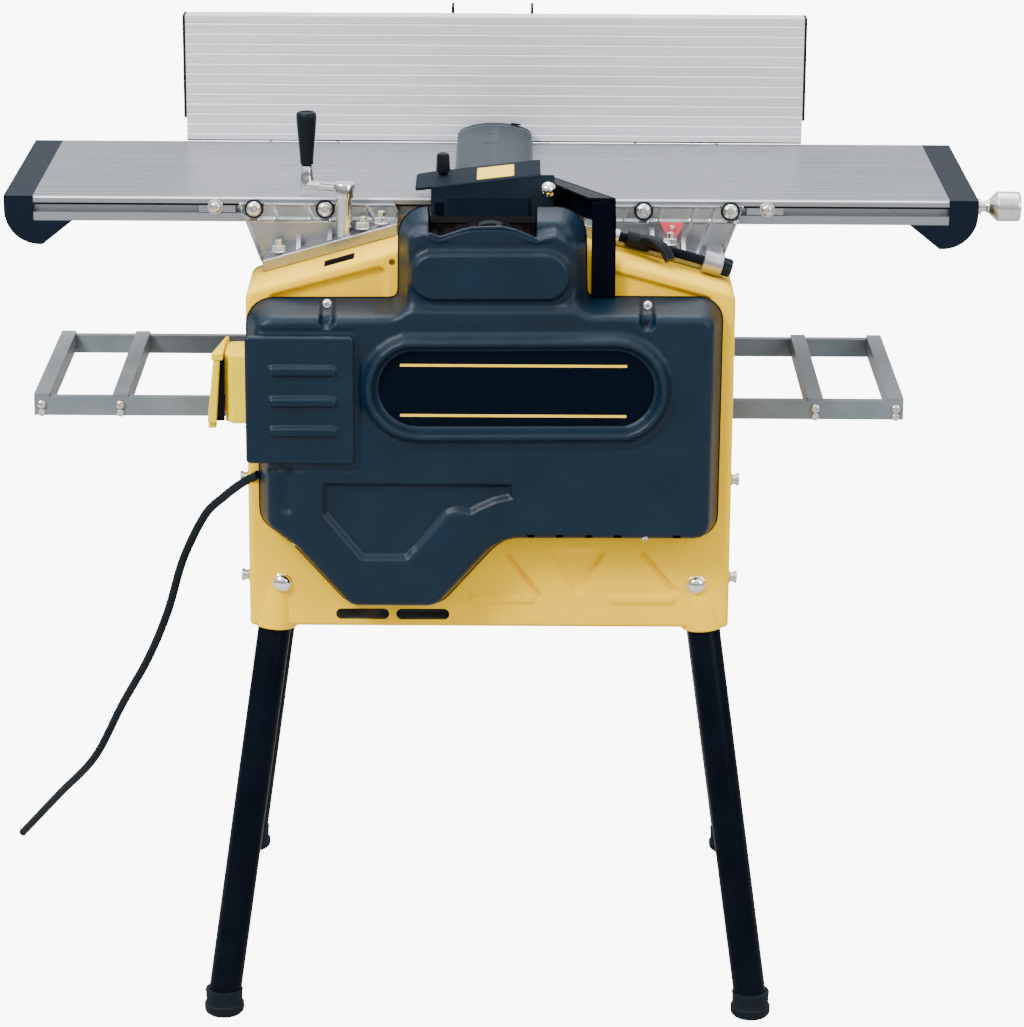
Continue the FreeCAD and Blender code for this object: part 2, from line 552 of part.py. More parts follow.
def drive_belt():
    """Flat ribbed belt: two straight runs tangent to both pulleys, closed by the arcs around them."""
    low = FreeCAD.Vector(float(sheet.motor_x), 0, float(sheet.motor_z))
    high = FreeCAD.Vector(0, 0, float(sheet.cutter_z))
    clear = float(sheet.run_gap)
    back, front = float(sheet.pulley_back), float(sheet.pulley_front)

    def loop(extra):
        radii = (float(sheet.motor_pulley_rad) + extra, float(sheet.cutter_pulley_rad) + extra)
        run = high - low
        tilt = math.atan2(run.z, run.x)
        lean = math.acos((radii[0] - radii[1]) / run.Length)
        ends = [centre + FreeCAD.Vector(math.cos(tilt + side), 0, math.sin(tilt + side)) * radius
                for side in (lean, -lean) for centre, radius in ((low, radii[0]), (high, radii[1]))]
        far_low = low - run.normalize() * radii[0]
        far_high = high + run * radii[1]
        wire = Part.Wire([
            Part.makeLine(ends[0], ends[1]), Part.Arc(ends[1], far_high, ends[3]).toShape(),
            Part.makeLine(ends[3], ends[2]), Part.Arc(ends[2], far_low, ends[0]).toShape()])
        return Part.Face(wire)

    band = loop(clear + float(sheet.belt_thick)).cut(loop(clear))
    belt = doc.addObject("Part::Feature", "drive_belt")
    belt.Shape = band.extrude(FreeCAD.Vector(0, front - back + 2, 0))
    belt.Placement = FreeCAD.Placement(FreeCAD.Vector(0, back - 1, 0), FreeCAD.Rotation())
    node("drive_belt", belt)


# ---------------------------------------------------------------- thicknessing table and lift
def thicknessing_table():
    top = box("bed_plate", ("-bed_half", "bed_half"), ("bed_front", "bed_back"), ("bed_top - bed_thick", "bed_top"))
    carrier = box("bed_carrier", ("-column_x - nut_rad", "column_x + nut_rad"),
                  ("column_front - nut_rad", "column_back + nut_rad"), ("frame_low", "frame_high"))
    tools = []
    for word, sign in SIDES:
        for end in ("front", "back"):
            tools.append(cylinder(f"bed_bore_{word}_{end}", "Z", (f"{sign} * column_x", f"column_{end}"),
                                  ("frame_low - 1", "bed_top + 1"), "column_rad + run_gap"))
    node("thicknessing_table", cut("thicknessing_table", fuse("bed_blank", top, carrier), *tools))


def extension_frames():
    """Two long rails along the thicknessing table, joined beyond the body by channels on both ends."""
    rails, bars, screws = [], [], []
    for word, middle in (("front", "rail_front"), ("back", "rail_back")):
        rails.append(box(f"rail_{word}", ("frame_left", "frame_right"),
                         (f"{middle} - rail_thick / 2", f"{middle} + rail_thick / 2"), ("rail_low", "rail_high")))
    for number, place in enumerate((-468, -386, 339, 423)):
        ends = (f"{place} - bar_wide / 2", f"{place} + bar_wide / 2")
        reach = ("rail_front - rail_thick / 2 + 1", "rail_back + rail_thick / 2 - 1")
        shell = box(f"channel_{number}", ends, reach, ("bar_low", "bed_top"))
        void = box(f"channel_void_{number}", (f"{ends[0]} + bar_sheet", f"{ends[1]} - bar_sheet"),
                   ("rail_front + 10", "rail_back - 10"), ("bar_low - 1", "bed_top - bar_sheet"))
        gaps = [box(f"channel_gap_{number}_{word}", (f"{ends[0]} - 1", f"{ends[1]} + 1"),
                    (f"{middle} - rail_thick / 2 - 1", f"{middle} + rail_thick / 2"), ("bar_low - 1", "rail_high"))
                for word, middle in (("front", "rail_front"), ("back", "rail_back"))]
        bars.append(cut(f"channel_bar_{number}", shell, void, *gaps))
        screws.append(cylinder(f"bar_screw_{number}", "Y", (place, "bar_low + 9"),
                               ("rail_front - rail_thick / 2 - 4", "rail_front - rail_thick / 2"), 5))
        screws.append(cylinder(f"bar_screw_back_{number}", "Y", (place, "bar_low + 9"),
                               ("rail_back + rail_thick / 2", "rail_back + rail_thick / 2 + 4"), 5))
    node("extension_rails", group("extension_rails", *rails))
    node("extension_crossbars", group("extension_crossbars", *bars))
    node("extension_screws", group("extension_screws", *screws))


def crank():
    """Lead screw of the lift, with the crank arm clamped on its upper end and a free-turning grip."""
    place = ("-column_x", "column_front")
    node("lift_screw", cylinder("lift_screw", "Z", place, ("body_low + sheet + 1", "arm_low"), "column_rad"))
    end = ("-column_x - arm_long * 0.8", "column_front + arm_long * 0.6")
    hub = cylinder("crank_hub", "Z", place, ("arm_low", "arm_high + 2"), "hub_rad + 3")
    eye = cylinder("crank_eye", "Z", end, ("arm_low", "grip_low - 1"), "hub_rad - 1")
    arm = doc.addObject("Part::Box", "crank_bar")
    bind(arm, "Length", "arm_long")
    bind(arm, "Width", "hub_rad * 1.6")
    bind(arm, "Height", "arm_high - arm_low")
    half = 0.8 * float(sheet.hub_rad)
    swing = FreeCAD.Rotation(Z_AXIS, math.degrees(math.atan2(0.6, -0.8)))
    start = FreeCAD.Vector(-float(sheet.column_x), float(sheet.column_front), float(sheet.arm_low))
    arm.Placement = FreeCAD.Placement(start + swing.multVec(FreeCAD.Vector(0, -half, 0)), swing)
    pin = cylinder("grip_pin", "Z", end, ("arm_low", "grip_high - 8"), 4)
    node("crank_arm", fuse("crank_arm", hub, eye, arm, pin))
    grip = cone("grip_cone", "Z", end, ("grip_low", "grip_high"), ("grip_rad - 3.5", "grip_rad"))
    bore = cylinder("grip_bore", "Z", end, ("grip_low - 1", "grip_high - 7.9"), "4 + run_gap")
    node("crank_grip", cut("crank_grip", grip, bore))


# ---------------------------------------------------------------- fence
def fence():
    skin, back = "table_back + fence_skin", "table_back + fence_deep"
    foot = "fence_low + 24"
    face = extrusion("fence_profile", "X", [
        ("table_back", "fence_low"), (skin, "fence_low + fence_skin"), (skin, foot), (back, foot),
        (back, f"{foot} + 6"), (skin, f"{foot} + 6"), (skin, "fence_high - 6"), (back, "fence_high - 6"),
        (back, "fence_high"), ("table_back", "fence_high"),
    ], "fence_left", "fence_right")
    grooves = []
    for number in range(12):
        middle = f"fence_low + 7 + {number} * fence_groove_pitch"
        grooves.append(box(f"fence_groove_{number}", ("fence_left - 1", "fence_right + 1"),
                           ("table_back - 1", "table_back + 0.9"), (f"{middle} - 0.7", f"{middle} + 0.7")))
    node("fence_plate", cut("fence_plate", face, *grooves))
    strips = []
    for word, low in (("left", "fence_left - 3"), ("right", "fence_right")):
        strips.append(box(f"fence_strip_{word}", (low, f"{low} + 3"), ("table_back", back),
                          ("fence_low + 24", "fence_high")))
    node("fence_end_strips", group("fence_end_strips", *strips))
    plates = []
    for word in ("low", "high"):
        middle = f"side_plate_{word}"
        arm = extrusion(f"side_arm_{word}", "X", [
            ("pivot_y - 7", "pivot_z - 7"), ("pivot_y + 6", "pivot_z - 6"), ("pivot_y + 43", "pivot_z + 38"),
            ("pivot_y + 43", "fence_high + 6"), (back, "fence_high + 6"), (back, f"{foot} - 0.05"),
            ("pivot_y - 7", f"{foot} - 0.05"),
        ], f"{middle} - 1.5", f"{middle} + 1.5")
        hole = cylinder(f"side_hole_{word}", "X", ("pivot_y", "pivot_z"), (f"{middle} - 2", f"{middle} + 2"),
                        "pivot_rad + run_gap")
        plates.append(cut(f"side_plate_{word}_cut", arm, hole))
    node("fence_side_plates", group("fence_side_plates", *plates))
    pin = cylinder("pivot_pin", "X", ("pivot_y", "pivot_z"), ("side_plate_low - 6", "side_plate_high + 2"),
                   "pivot_rad")
    nut = cylinder("pivot_nut", "X", ("pivot_y", "pivot_z"), ("side_plate_high + 1.6", "side_plate_high + 13"), 8)
    node("tilt_lock_bolt", fuse("tilt_lock_bolt", pin, nut))
    bar = box("slide_bar", ("-bar_half", "bar_half"), ("pivot_y - 6", "bar_back"),
              ("bar_rest", "bar_rest + bar_rise"))
    knuckle = cylinder("knuckle", "X", ("pivot_y", "pivot_z"), ("-bar_half - 18", "bar_half + 18"),
                       "knuckle_rad + 1")
    bore = cylinder("knuckle_bore", "X", ("pivot_y", "pivot_z"), (-60, 60), "pivot_rad + run_gap")
    node("fence_carriage", cut("fence_carriage", fuse("carriage_blank", bar, knuckle), bore))
    block = box("guide_base", (-34, 34), ("wall_out", "wall_out + 54"), (806, "bar_rest - 0.05"))
    cheeks = [box(f"guide_cheek_{word}", sorted((sign * 20.1, sign * 34)), ("wall_out + 4", "wall_out + 54"),
                  ("bar_rest - 1", "bar_rest + bar_rise")) for word, sign in SIDES]
    bore = cylinder("guide_bore", "X", (230, 832), (0, 35), "5 + run_gap")
    node("fence_guide_block", cut("fence_guide_block", fuse("guide_blank", block, *cheeks), bore))
    hub = cylinder("slide_lock_hub", "X", (230, 832), (35, 46), 9)
    stem = cylinder("slide_lock_stem", "X", (230, 832), (6, 36), 5)
    handle = box("slide_lock_handle", (38, 44), (226, 234), (770, 830))
    node("slide_lock_lever", fuse("slide_lock_lever", hub, stem, handle))


# ---------------------------------------------------------------- cutter guard and deflector
HEAD_RISE = "(head_right - head_left) * 0.12"


def guard():
    """Bridge guard: an arched beam carried by a bent steel head on a post at the front of the machine."""
    pieces = [box("post_plate", (-30, 30), (-143, -137), (840, 857.8))]
    for word, sign in SIDES:
        x_ends = (16, 30) if sign > 0 else (-30, -16)
        pieces.append(box(f"post_leg_{word}", x_ends, (-143, -137), (828, 842)))
        pieces.append(box(f"post_tie_{word}", x_ends, ("-wall_out + 27", -137), (828, 836)))
    node("guard_post", fuse("guard_post", *pieces))
    plate = extrusion("head_plate", "Y", [
        ("head_left - 16", "head_top - 1.9"), ("head_right", f"head_top + {HEAD_RISE}"),
        ("head_right", f"head_top + {HEAD_RISE} - guard_sheet"), ("head_left - 16", "head_top - 1.9 - guard_sheet"),
    ], "head_front", "head_front + head_deep")
    front = extrusion("head_front_plate", "Y", [
        ("head_left", 842), ("head_right + 14", 842), ("head_right + 14", f"head_top + {HEAD_RISE}"),
        ("head_right", f"head_top + {HEAD_RISE}"), ("head_left", "head_top"),
    ], "head_front - guard_sheet", "head_front")
    panel = box("head_panel", (-46, 38), ("head_front - 2 * guard_sheet", "head_front - guard_sheet + 0.5"),
                (838, 864))
    clamp = box("head_clamp", (-28, 28), ("head_front - 0.5", "head_front + 2.9"), (845, 873))
    node("guard_head", fuse("guard_head", plate, front, panel, clamp))
    half = "(guard_right - guard_left) / 2"
    middle = "(guard_right + guard_left) / 2"
    arch = extrusion("guard_arch", "Y", [
        ("guard_left", "guard_low"), ("guard_left + 3", "guard_low"),
        (f"{middle} - {half} * 0.55", "guard_low + guard_rise * 0.78"), (middle, "guard_low + guard_rise"),
        (f"{middle} + {half} * 0.55", "guard_low + guard_rise * 0.78"), ("guard_right - 3", "guard_low"),
        ("guard_right", "guard_low"), ("guard_right", "guard_low + 7"),
        (f"{middle} + {half} * 0.55", "guard_low + guard_rise + 4.5"), (middle, "guard_low + guard_rise + 7"),
        (f"{middle} - {half} * 0.55", "guard_low + guard_rise + 4.5"), ("guard_left", "guard_low + 7"),
    ], "guard_near", "guard_far")
    node("guard_beam", arch)
    spot = (-49.5, -97)
    stem = cylinder("guard_knob_stem", "Z", spot, (875, 879), 4)
    node("guard_knob", fuse("guard_knob", stem, cylinder("guard_knob_grip", "Z", spot, (878, 898), 7)))
    ball = doc.addObject("Part::Sphere", "guard_ball")
    ball.Radius = 8
    ball.Placement.Base = FreeCAD.Vector(57.5, -160, 874)
    neck = cylinder("guard_ball_neck", "Y", (57.5, 874), (-155, -149.1), 4)
    node("guard_ball_knob", fuse("guard_ball_knob", ball, neck))
    strip = box("deflector_strip", (104, 126), ("-wall_out - 6", "-wall_out - 3"), (774, 876))
    wing = extrusion("deflector_wing", "Z", [(122, "-wall_out - 5"), (126, "-wall_out - 5"), (67.5, -112),
                                             (63.5, -112)], 850, 876)
    node("chip_deflector", fuse("chip_deflector", strip, wing))


# ---------------------------------------------------------------- covers, switch, cord
def drive_cover():
    """Moulded drive cover: main pan, lower bulge for the motor pulley and a neck up to the cutter pulley."""
    body = extrusion("drive_cover", "Y", [
        (-241, 560), (-241, 771), (-93, 771), (-93, 846), (-76, 866), (76, 866), (95, 846), (95, 773), (232, 773),
        (232, 518), (30, 513), (-45, 452), (-155, 452), (-234, 528),
    ], "-cover_face", "-wall_out")
    round_edges(body, "Y", 12, lambda middle: middle.z > 760 or middle.z < 530)
    shell = hollow(body, "cover_sheet", lambda centre: centre.y > -204)
    saddle = box("cover_saddle", (-61, 46), ("-cover_face - 1", "-wall_out + 1"), (851, 870))
    return node("drive_cover", cut("drive_cover_notched", shell, saddle))


def cover_details():
    plate = box("electrics_plate", (-245, -136), ("-cover_face - 6", "-cover_face"), (611, 743))
    ribs = [box(f"electrics_rib_{number}", (-223, -152), ("-cover_face - 10", "-cover_face - 5"), (height - 6,
                                                                                             height + 6))
            for number, height in enumerate((645, 676, 708))]
    node("electrics_cover", fuse("electrics_cover", plate, *ribs))
    screws = [cylinder(f"cover_screw_{number}", "Y", (place, 760), ("-cover_face - 3", "-cover_face"), 7)
              for number, place in enumerate((-163, 158))]
    node("cover_screws", group("cover_screws", *screws))


def switch():
    side = "-body_half"
    case = box("switch_case", ("-switch_face", side), ("switch_front", "switch_back"),
               ("switch_low", "switch_high"))
    tools = [cylinder(f"button_bore_{height}", "X", (-165, height), ("-switch_face - 1", f"{side} - 4"),
                      "9 + run_gap") for height in (650, 690)]
    node("switch_housing", cut("switch_housing", case, *tools))
    for word, height, proud in (("start", 690, 2.5), ("stop", 650, 4)):
        node(f"{word}_button", cylinder(f"{word}_button", "X", (-165, height),
                                        (f"-switch_face - {proud}", f"{side} - 9"), 9))
    shell = box("flap_shell", ("-flap_face", "-switch_face - 0.2"), ("switch_front", "switch_back"),
                ("switch_low", "switch_high"))
    void = box("flap_void", ("-flap_face + 4", "-switch_face + 1"), ("switch_front + 4", "switch_back - 4"),
               ("switch_low + 4", "switch_high - 12"))
    node("switch_flap", cut("switch_flap", shell, void))


def mains_cord():
    """Flexible cord: leaves the front wall's side, droops to the floor beside the machine."""
    points = [(-251, -168, 571), (-266, -160, 562), (-296, -140, 525), (-323, -110, 463), (-343, -80, 395),
              (-369, -40, 328), (-404, 10, 256), (-441, 60, 176), (-491, 140, 101), (-548, 236, 14)]
    curve = Part.BSplineCurve()
    curve.interpolate([FreeCAD.Vector(*point) for point in points])
    path = Part.Wire([curve.toShape()])
    ring = Part.Wire([Part.makeCircle(4.5, FreeCAD.Vector(*points[0]), curve.tangent(0)[0])])
    cord = doc.addObject("Part::Feature", "mains_cord")
    cord.Shape = path.makePipeShell([ring], True, True)
    node("mains_cord", cord)


body_and_legs()
tables()
depth_knob()
table_lock()
cutter()
bearings()
feed_rollers()
kickback_fingers()
motor()
drive_belt()
thicknessing_table()
extension_frames()
crank()
fence()
guard()
drive_cover()
cover_details()
switch()
mains_cord()
doc.recompute()

failed = [item.Label for item in doc.Objects if {"Invalid", "Error"} & set(item.State)]
if failed:
    raise RuntimeError("objects failed: " + ", ".join(failed))
os.makedirs("parts", exist_ok=True)
for label, thing in NODES.items():
    if thing.Shape.isNull() or not thing.Shape.isValid():
        raise RuntimeError("bad shape: " + label)
    thing.Shape.exportStep(f"parts/{label}.step")
print(len(NODES), "nodes written")
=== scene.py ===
"""Looks of the combined planer: detailed pieces, materials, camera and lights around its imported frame."""
import bpy
import json
import math
import numpy as np
from mathutils import Matrix, Vector


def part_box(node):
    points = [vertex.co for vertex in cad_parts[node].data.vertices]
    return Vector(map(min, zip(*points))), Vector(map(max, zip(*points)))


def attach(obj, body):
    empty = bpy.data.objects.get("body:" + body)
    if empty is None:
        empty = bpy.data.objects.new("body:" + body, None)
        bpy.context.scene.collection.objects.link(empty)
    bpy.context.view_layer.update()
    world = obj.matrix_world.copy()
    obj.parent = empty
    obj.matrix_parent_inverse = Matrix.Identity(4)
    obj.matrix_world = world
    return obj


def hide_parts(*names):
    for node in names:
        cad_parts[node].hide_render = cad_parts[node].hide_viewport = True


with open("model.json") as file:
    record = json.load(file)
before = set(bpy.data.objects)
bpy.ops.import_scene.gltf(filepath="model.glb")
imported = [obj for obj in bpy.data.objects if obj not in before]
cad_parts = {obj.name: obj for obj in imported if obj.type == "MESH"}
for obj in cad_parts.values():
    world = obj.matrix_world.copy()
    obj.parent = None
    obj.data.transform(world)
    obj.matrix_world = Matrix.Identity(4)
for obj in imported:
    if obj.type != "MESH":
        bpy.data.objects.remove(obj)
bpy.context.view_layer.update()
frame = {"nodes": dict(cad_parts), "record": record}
NODES = frame["nodes"]
MM = 0.001
ROOT = "machine"
SHADES = {}
WORN_FROM, WORN_TO = 0.53, 0.62  # pointiness where an edge starts to wear, and where it is worn through
GRAIN_DEPTH = 0.0006  # metres
SHARP_ANGLE = math.radians(35)
CURVE_STEPS = 8  # points between two given points of a sweep

# places on the machine, in millimetres
TABLE_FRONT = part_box("outfeed_table")[0][1] / MM
WALL_HALF = 247  # from the middle to the outer edge of a body wall
WAY_LOW = 777  # height of the inclined ways at that edge
WAY_SLOPE = math.radians(16)
WAY = Vector((math.cos(WAY_SLOPE), 0, -math.sin(WAY_SLOPE)))
LEG_LOW, LEG_HIGH = 18, 455  # ends of a leg's centre line
COVER_FACE, COVER_BACK = -247, -203.5
NECK_LEFT, NECK_RIGHT = -61, 46  # the part of the cover's neck that is folded back
NECK_FRONT, NECK_LOW = -243, 838
BADGE = (26.5, 688.5)
BOLT_LEVEL = 841
WEB_SIDES = ((-109, -1), (183, 1))  # outer face of the front and rear brackets, and the way it looks
LOCK_START = Vector((118, -150, 827))
HEX_RATIO = 1.732  # width across flats over corner radius


# ---------------------------------------------------------------- materials
def add_node(tree, kind, **values):
    """A shader node with some inputs set by name, an underscore standing for a space."""
    node = tree.nodes.new("ShaderNode" + kind)
    for key, value in values.items():
        node.inputs[key.replace("_", " ")].default_value = value
    return node


def finish(name, colour, rough, metal=0.0, spread=0.10, cell=22.0, grain=700.0, bump=0.12,
           stretch=(1, 1, 1), wear=0.0, wear_colour=(0.5, 0.5, 0.5), gloss=0.12):
    """A surface whose colour and roughness drift slowly, with a fine grain and paler worn edges."""
    shade = bpy.data.materials.new(name)
    shade.use_nodes = True
    tree = shade.node_tree
    link = tree.links.new
    skin = tree.nodes["Principled BSDF"]
    place = add_node(tree, "TexCoord")
    warp = add_node(tree, "Mapping", Scale=stretch)
    link(place.outputs["Object"], warp.inputs["Vector"])
    drift = add_node(tree, "TexNoise", Scale=cell, Detail=6)
    link(warp.outputs["Vector"], drift.inputs["Vector"])
    tone = add_node(tree, "ValToRGB")
    for i, (position, share) in enumerate(((0.3, 1 - spread), (0.72, 1 + spread))):
        tone.color_ramp.elements[i].position = position
        tone.color_ramp.elements[i].color = [min(c * share, 1) for c in colour] + [1]
    link(drift.outputs["Fac"], tone.inputs["Fac"])
    top = tone.outputs["Color"]
    if wear:
        edge = add_node(tree, "NewGeometry")
        sharp = add_node(tree, "MapRange", From_Min=WORN_FROM, From_Max=WORN_TO, To_Max=wear)
        link(edge.outputs["Pointiness"], sharp.inputs["Value"])
        patch = add_node(tree, "Math")
        patch.operation = "MULTIPLY"
        link(sharp.outputs["Result"], patch.inputs[0])
        link(drift.outputs["Fac"], patch.inputs[1])
        rub = add_node(tree, "Mix")
        rub.data_type = "RGBA"
        rub.inputs["B"].default_value = (*wear_colour, 1)
        link(patch.outputs["Value"], rub.inputs["Factor"])
        link(top, rub.inputs["A"])
        top = rub.outputs["Result"]
    link(top, skin.inputs["Base Color"])
    dull = add_node(tree, "MapRange", To_Min=rough * 0.85, To_Max=min(rough * 1.2, 1))
    link(drift.outputs["Fac"], dull.inputs["Value"])
    link(dull.outputs["Result"], skin.inputs["Roughness"])
    fine = add_node(tree, "TexNoise", Scale=grain, Detail=3)
    link(warp.outputs["Vector"], fine.inputs["Vector"])
    press = add_node(tree, "Bump", Strength=bump, Distance=GRAIN_DEPTH)
    link(fine.outputs["Fac"], press.inputs["Height"])
    link(press.outputs["Normal"], skin.inputs["Normal"])
    skin.inputs["Metallic"].default_value = metal
    skin.inputs["Specular IOR Level"].default_value = gloss
    SHADES[name] = shade
    return shade


def body_finishes():
    finish("yellow_paint", (0.93, 0.555, 0.0), 0.40, spread=0.03, bump=0.10, wear=0.4,
           wear_colour=(1.0, 0.72, 0.08))
    finish("navy_plastic", (0.0015, 0.0103, 0.0218), 0.37, spread=0.16, grain=1500, bump=0.30, wear=0.5,
           wear_colour=(0.02, 0.037, 0.052), gloss=0.20)
    finish("black_paint", (0.0005, 0.0012, 0.0045), 0.26, spread=0.2, grain=900, bump=0.06, wear=0.5,
           wear_colour=(0.02, 0.03, 0.04), gloss=0.03)
    finish("head_paint", (0.004, 0.0095, 0.0155), 0.55, spread=0.15, grain=1200, bump=0.15, wear=0.4,
           wear_colour=(0.03, 0.04, 0.05), gloss=0.03)
    finish("grey_paint", (0.085, 0.108, 0.126), 0.38, spread=0.08, bump=0.08, wear=0.5,
           wear_colour=(0.3, 0.33, 0.35), gloss=0.35)
    finish("lemon_plastic", (0.93, 0.68, 0.0), 0.30, spread=0.03, bump=0.04)
    finish("red_plastic", (0.60, 0.065, 0.075), 0.35, spread=0.08, bump=0.05)
    finish("green_plastic", (0.03, 0.30, 0.08), 0.35, spread=0.08, bump=0.05)
    finish("black_plastic", (0.002, 0.005, 0.008), 0.38, spread=0.2, grain=1600, bump=0.25, wear=0.4,
           wear_colour=(0.02, 0.03, 0.035))
    finish("grey_plastic", (0.024, 0.032, 0.040), 0.46, spread=0.08, grain=1500, bump=0.25, wear=0.6,
           wear_colour=(0.16, 0.19, 0.21))
    finish("rubber", (0.004, 0.008, 0.012), 0.62, spread=0.2, grain=1200, bump=0.35)
    finish("badge_yellow", (0.92, 0.58, 0.05), 0.35, spread=0.03, bump=0.03)
    finish("badge_navy", (0.0006, 0.003, 0.0075), 0.40, spread=0.1, bump=0.03, gloss=0.03)
    finish("cap_plastic", (0.0008, 0.0050, 0.0125), 0.50, spread=0.12, grain=1500, bump=0.25)
    # painted shadow: a near-black finish for plates and strips set where shade falls
    finish("slot_shadow", (0.006, 0.005, 0.006), 0.8, spread=0.2, gloss=0.0)


def metal_finishes():
    finish("table_aluminium", (0.31, 0.33, 0.36), 0.36, metal=0.85, spread=0.05, cell=9, grain=160,
           bump=0.10, stretch=(0.35, 9, 3))
    finish("fence_aluminium", (0.80, 0.79, 0.84), 0.42, metal=0.6, spread=0.04, cell=8, grain=160,
           bump=0.08, stretch=(0.3, 5, 9))
    finish("cast_aluminium", (0.33, 0.34, 0.36), 0.30, metal=0.9, cell=60, grain=420, bump=0.30,
           wear=0.6, wear_colour=(0.9, 0.9, 0.9))
    finish("ground_steel", (0.56, 0.57, 0.58), 0.25, metal=1.0, spread=0.08, grain=300, bump=0.10,
           stretch=(3, 0.4, 3))
    finish("zinc_steel", (0.64, 0.64, 0.63), 0.24, metal=1.0, cell=140, bump=0.10)
    finish("stainless", (0.66, 0.66, 0.64), 0.26, metal=1.0, spread=0.05, grain=500, bump=0.08,
           stretch=(8, 1, 1))
    finish("chrome", (0.80, 0.81, 0.82), 0.12, metal=1.0, spread=0.05, cell=70, bump=0.04)
    # painted highlight: a pure white finish for strips that stand in for light caught on edges
    finish("painted_highlight_white", (1.0, 1.0, 1.0), 0.3, spread=0.02, gloss=0.5)
    finish("cast_iron", (0.09, 0.095, 0.10), 0.55, metal=0.5, spread=0.2, cell=90, bump=0.4)


# ---------------------------------------------------------------- mesh helpers, all in millimetres
def mesh_piece(name, verts, faces, shade, angle=32):
    """A mesh object from millimetre vertices, smooth except where faces meet sharply."""
    data = bpy.data.meshes.new(name)
    data.from_pydata([[c * MM for c in v] for v in verts], [], faces)
    data.validate()
    data.shade_smooth()
    data.set_sharp_from_angle(angle=math.radians(angle))
    thing = bpy.data.objects.new(name, data)
    bpy.context.scene.collection.objects.link(thing)
    data.materials.append(SHADES[shade])
    return thing


def soften(thing, width, segments=3):
    """Round the sharp edges of a piece by a width in millimetres."""
    bevel = thing.modifiers.new("soft_edges", "BEVEL")
    bevel.width = width * MM
    bevel.segments = segments
    bevel.limit_method = "ANGLE"
    bevel.angle_limit = SHARP_ANGLE
    bevel.harden_normals = True
    return thing


def settle(thing, body, shade_slot, *nodes):
    """Let a finished piece ride its body and stand for CAD nodes, hiding them; shade_slot is not used."""
    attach(thing, body)
    if nodes:
        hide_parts(*nodes)
    return thing


def join(name, things):
    """Merge several pieces, modifiers applied, into one."""
    bpy.context.view_layer.update()
    graph = bpy.context.evaluated_depsgraph_get()
    for thing in things:
        baked = bpy.data.meshes.new_from_object(thing.evaluated_get(graph))
        thing.modifiers.clear()
        thing.data = baked
    with bpy.context.temp_override(active_object=things[0], object=things[0], selected_objects=things,
                                   selected_editable_objects=things):
        bpy.ops.object.join()
    things[0].name = name
    things[0].data.name = name
    return things[0]


def axis_frame(axis):
    """Two unit vectors square to an axis, so that they and the axis turn right-handed."""
    axis = Vector(axis).normalized()
    side = Vector((0, 0, 1)) if abs(axis.z) < 0.9 else Vector((1, 0, 0))
    across = side.cross(axis).normalized()
    return axis, across, axis.cross(across)


def tube_faces(rings, steps):
    """Faces between rings of points, and the two ends."""
    faces = []
    for ring in range(rings - 1):
        for i in range(steps):
            a, b = ring * steps + i, ring * steps + (i + 1) % steps
            faces.append((a, b, b + steps, a + steps))
    faces.append(tuple(reversed(range(steps))))
    faces.append(tuple(range((rings - 1) * steps, rings * steps)))
    return faces


def lathe(name, base, axis, profile, shade, steps=40, wobble=None, angle=32):
    """Turn a profile of (distance along, radius) pairs about an axis through base."""
    axis, across, up = axis_frame(axis)
    verts = []
    for along, radius in profile:
        for i in range(steps):
            turn = 2 * math.pi * i / steps
            reach = radius * (wobble(turn, along) if wobble else 1)
            spoke = across * math.cos(turn) + up * math.sin(turn)
            verts.append(Vector(base) + axis * along + spoke * reach)
    return mesh_piece(name, verts, tube_faces(len(profile), steps), shade, angle)


def fluted(flutes, depth):
    """Wobble of a lathe piece with shallow flutes along it."""
    return lambda turn, along: 1 + depth * math.cos(flutes * turn)


def sweep(name, points, radius, shade, steps=20, flat=1.0):
    """A round or flattened bar along a smooth path through the points."""
    path = [Vector(p) for p in points]
    fine = []
    for i in range(len(path) - 1):
        before, start = path[max(i - 1, 0)], path[i]
        end, after = path[i + 1], path[min(i + 2, len(path) - 1)]
        for j in range(CURVE_STEPS):
            t = j / CURVE_STEPS
            square = 2 * before - 5 * start + 4 * end - after
            cube = 3 * start - before - 3 * end + after
            fine.append(0.5 * (2 * start + (end - before) * t + square * t ** 2 + cube * t ** 3))
    fine.append(path[-1])
    verts = []
    across = None
    for i, point in enumerate(fine):
        ahead = (fine[min(i + 1, len(fine) - 1)] - fine[max(i - 1, 0)]).normalized()
        if across is None:
            across = axis_frame(ahead)[1]
        across = (across - ahead * across.dot(ahead)).normalized()
        up = ahead.cross(across)
        width = radius(i / (len(fine) - 1)) if callable(radius) else radius
        for k in range(steps):
            turn = 2 * math.pi * k / steps
            verts.append(point + across * math.cos(turn) * width + up * math.sin(turn) * width * flat)
    return mesh_piece(name, verts, tube_faces(len(fine), steps), shade)


def rounded(corners, radius):
    """Outline points of a polygon with an arc at every corner; a corner may carry its own radius."""
    points = []
    count = len(corners)
    for i, corner in enumerate(corners):
        here = Vector(corner[:2])
        reach = corner[2] if len(corner) > 2 else radius
        to_last = (Vector(corners[i - 1][:2]) - here).normalized()
        to_next = (Vector(corners[(i + 1) % count][:2]) - here).normalized()
        half = to_last.angle(to_next) / 2
        if reach < 0.01 or abs(half - math.pi / 2) < 0.01:
            points.append(here)
            continue
        start, end = here + to_last * reach / math.tan(half), here + to_next * reach / math.tan(half)
        centre = here + (to_last + to_next).normalized() * reach / math.sin(half)
        first, last = start - centre, end - centre
        swing = first.angle_signed(last)
        steps = max(2, int(abs(swing) / 0.2))
        for k in range(steps + 1):
            turned = first.copy()
            turned.rotate(Matrix.Rotation(-swing * k / steps, 2))
            points.append(centre + turned)
    return points


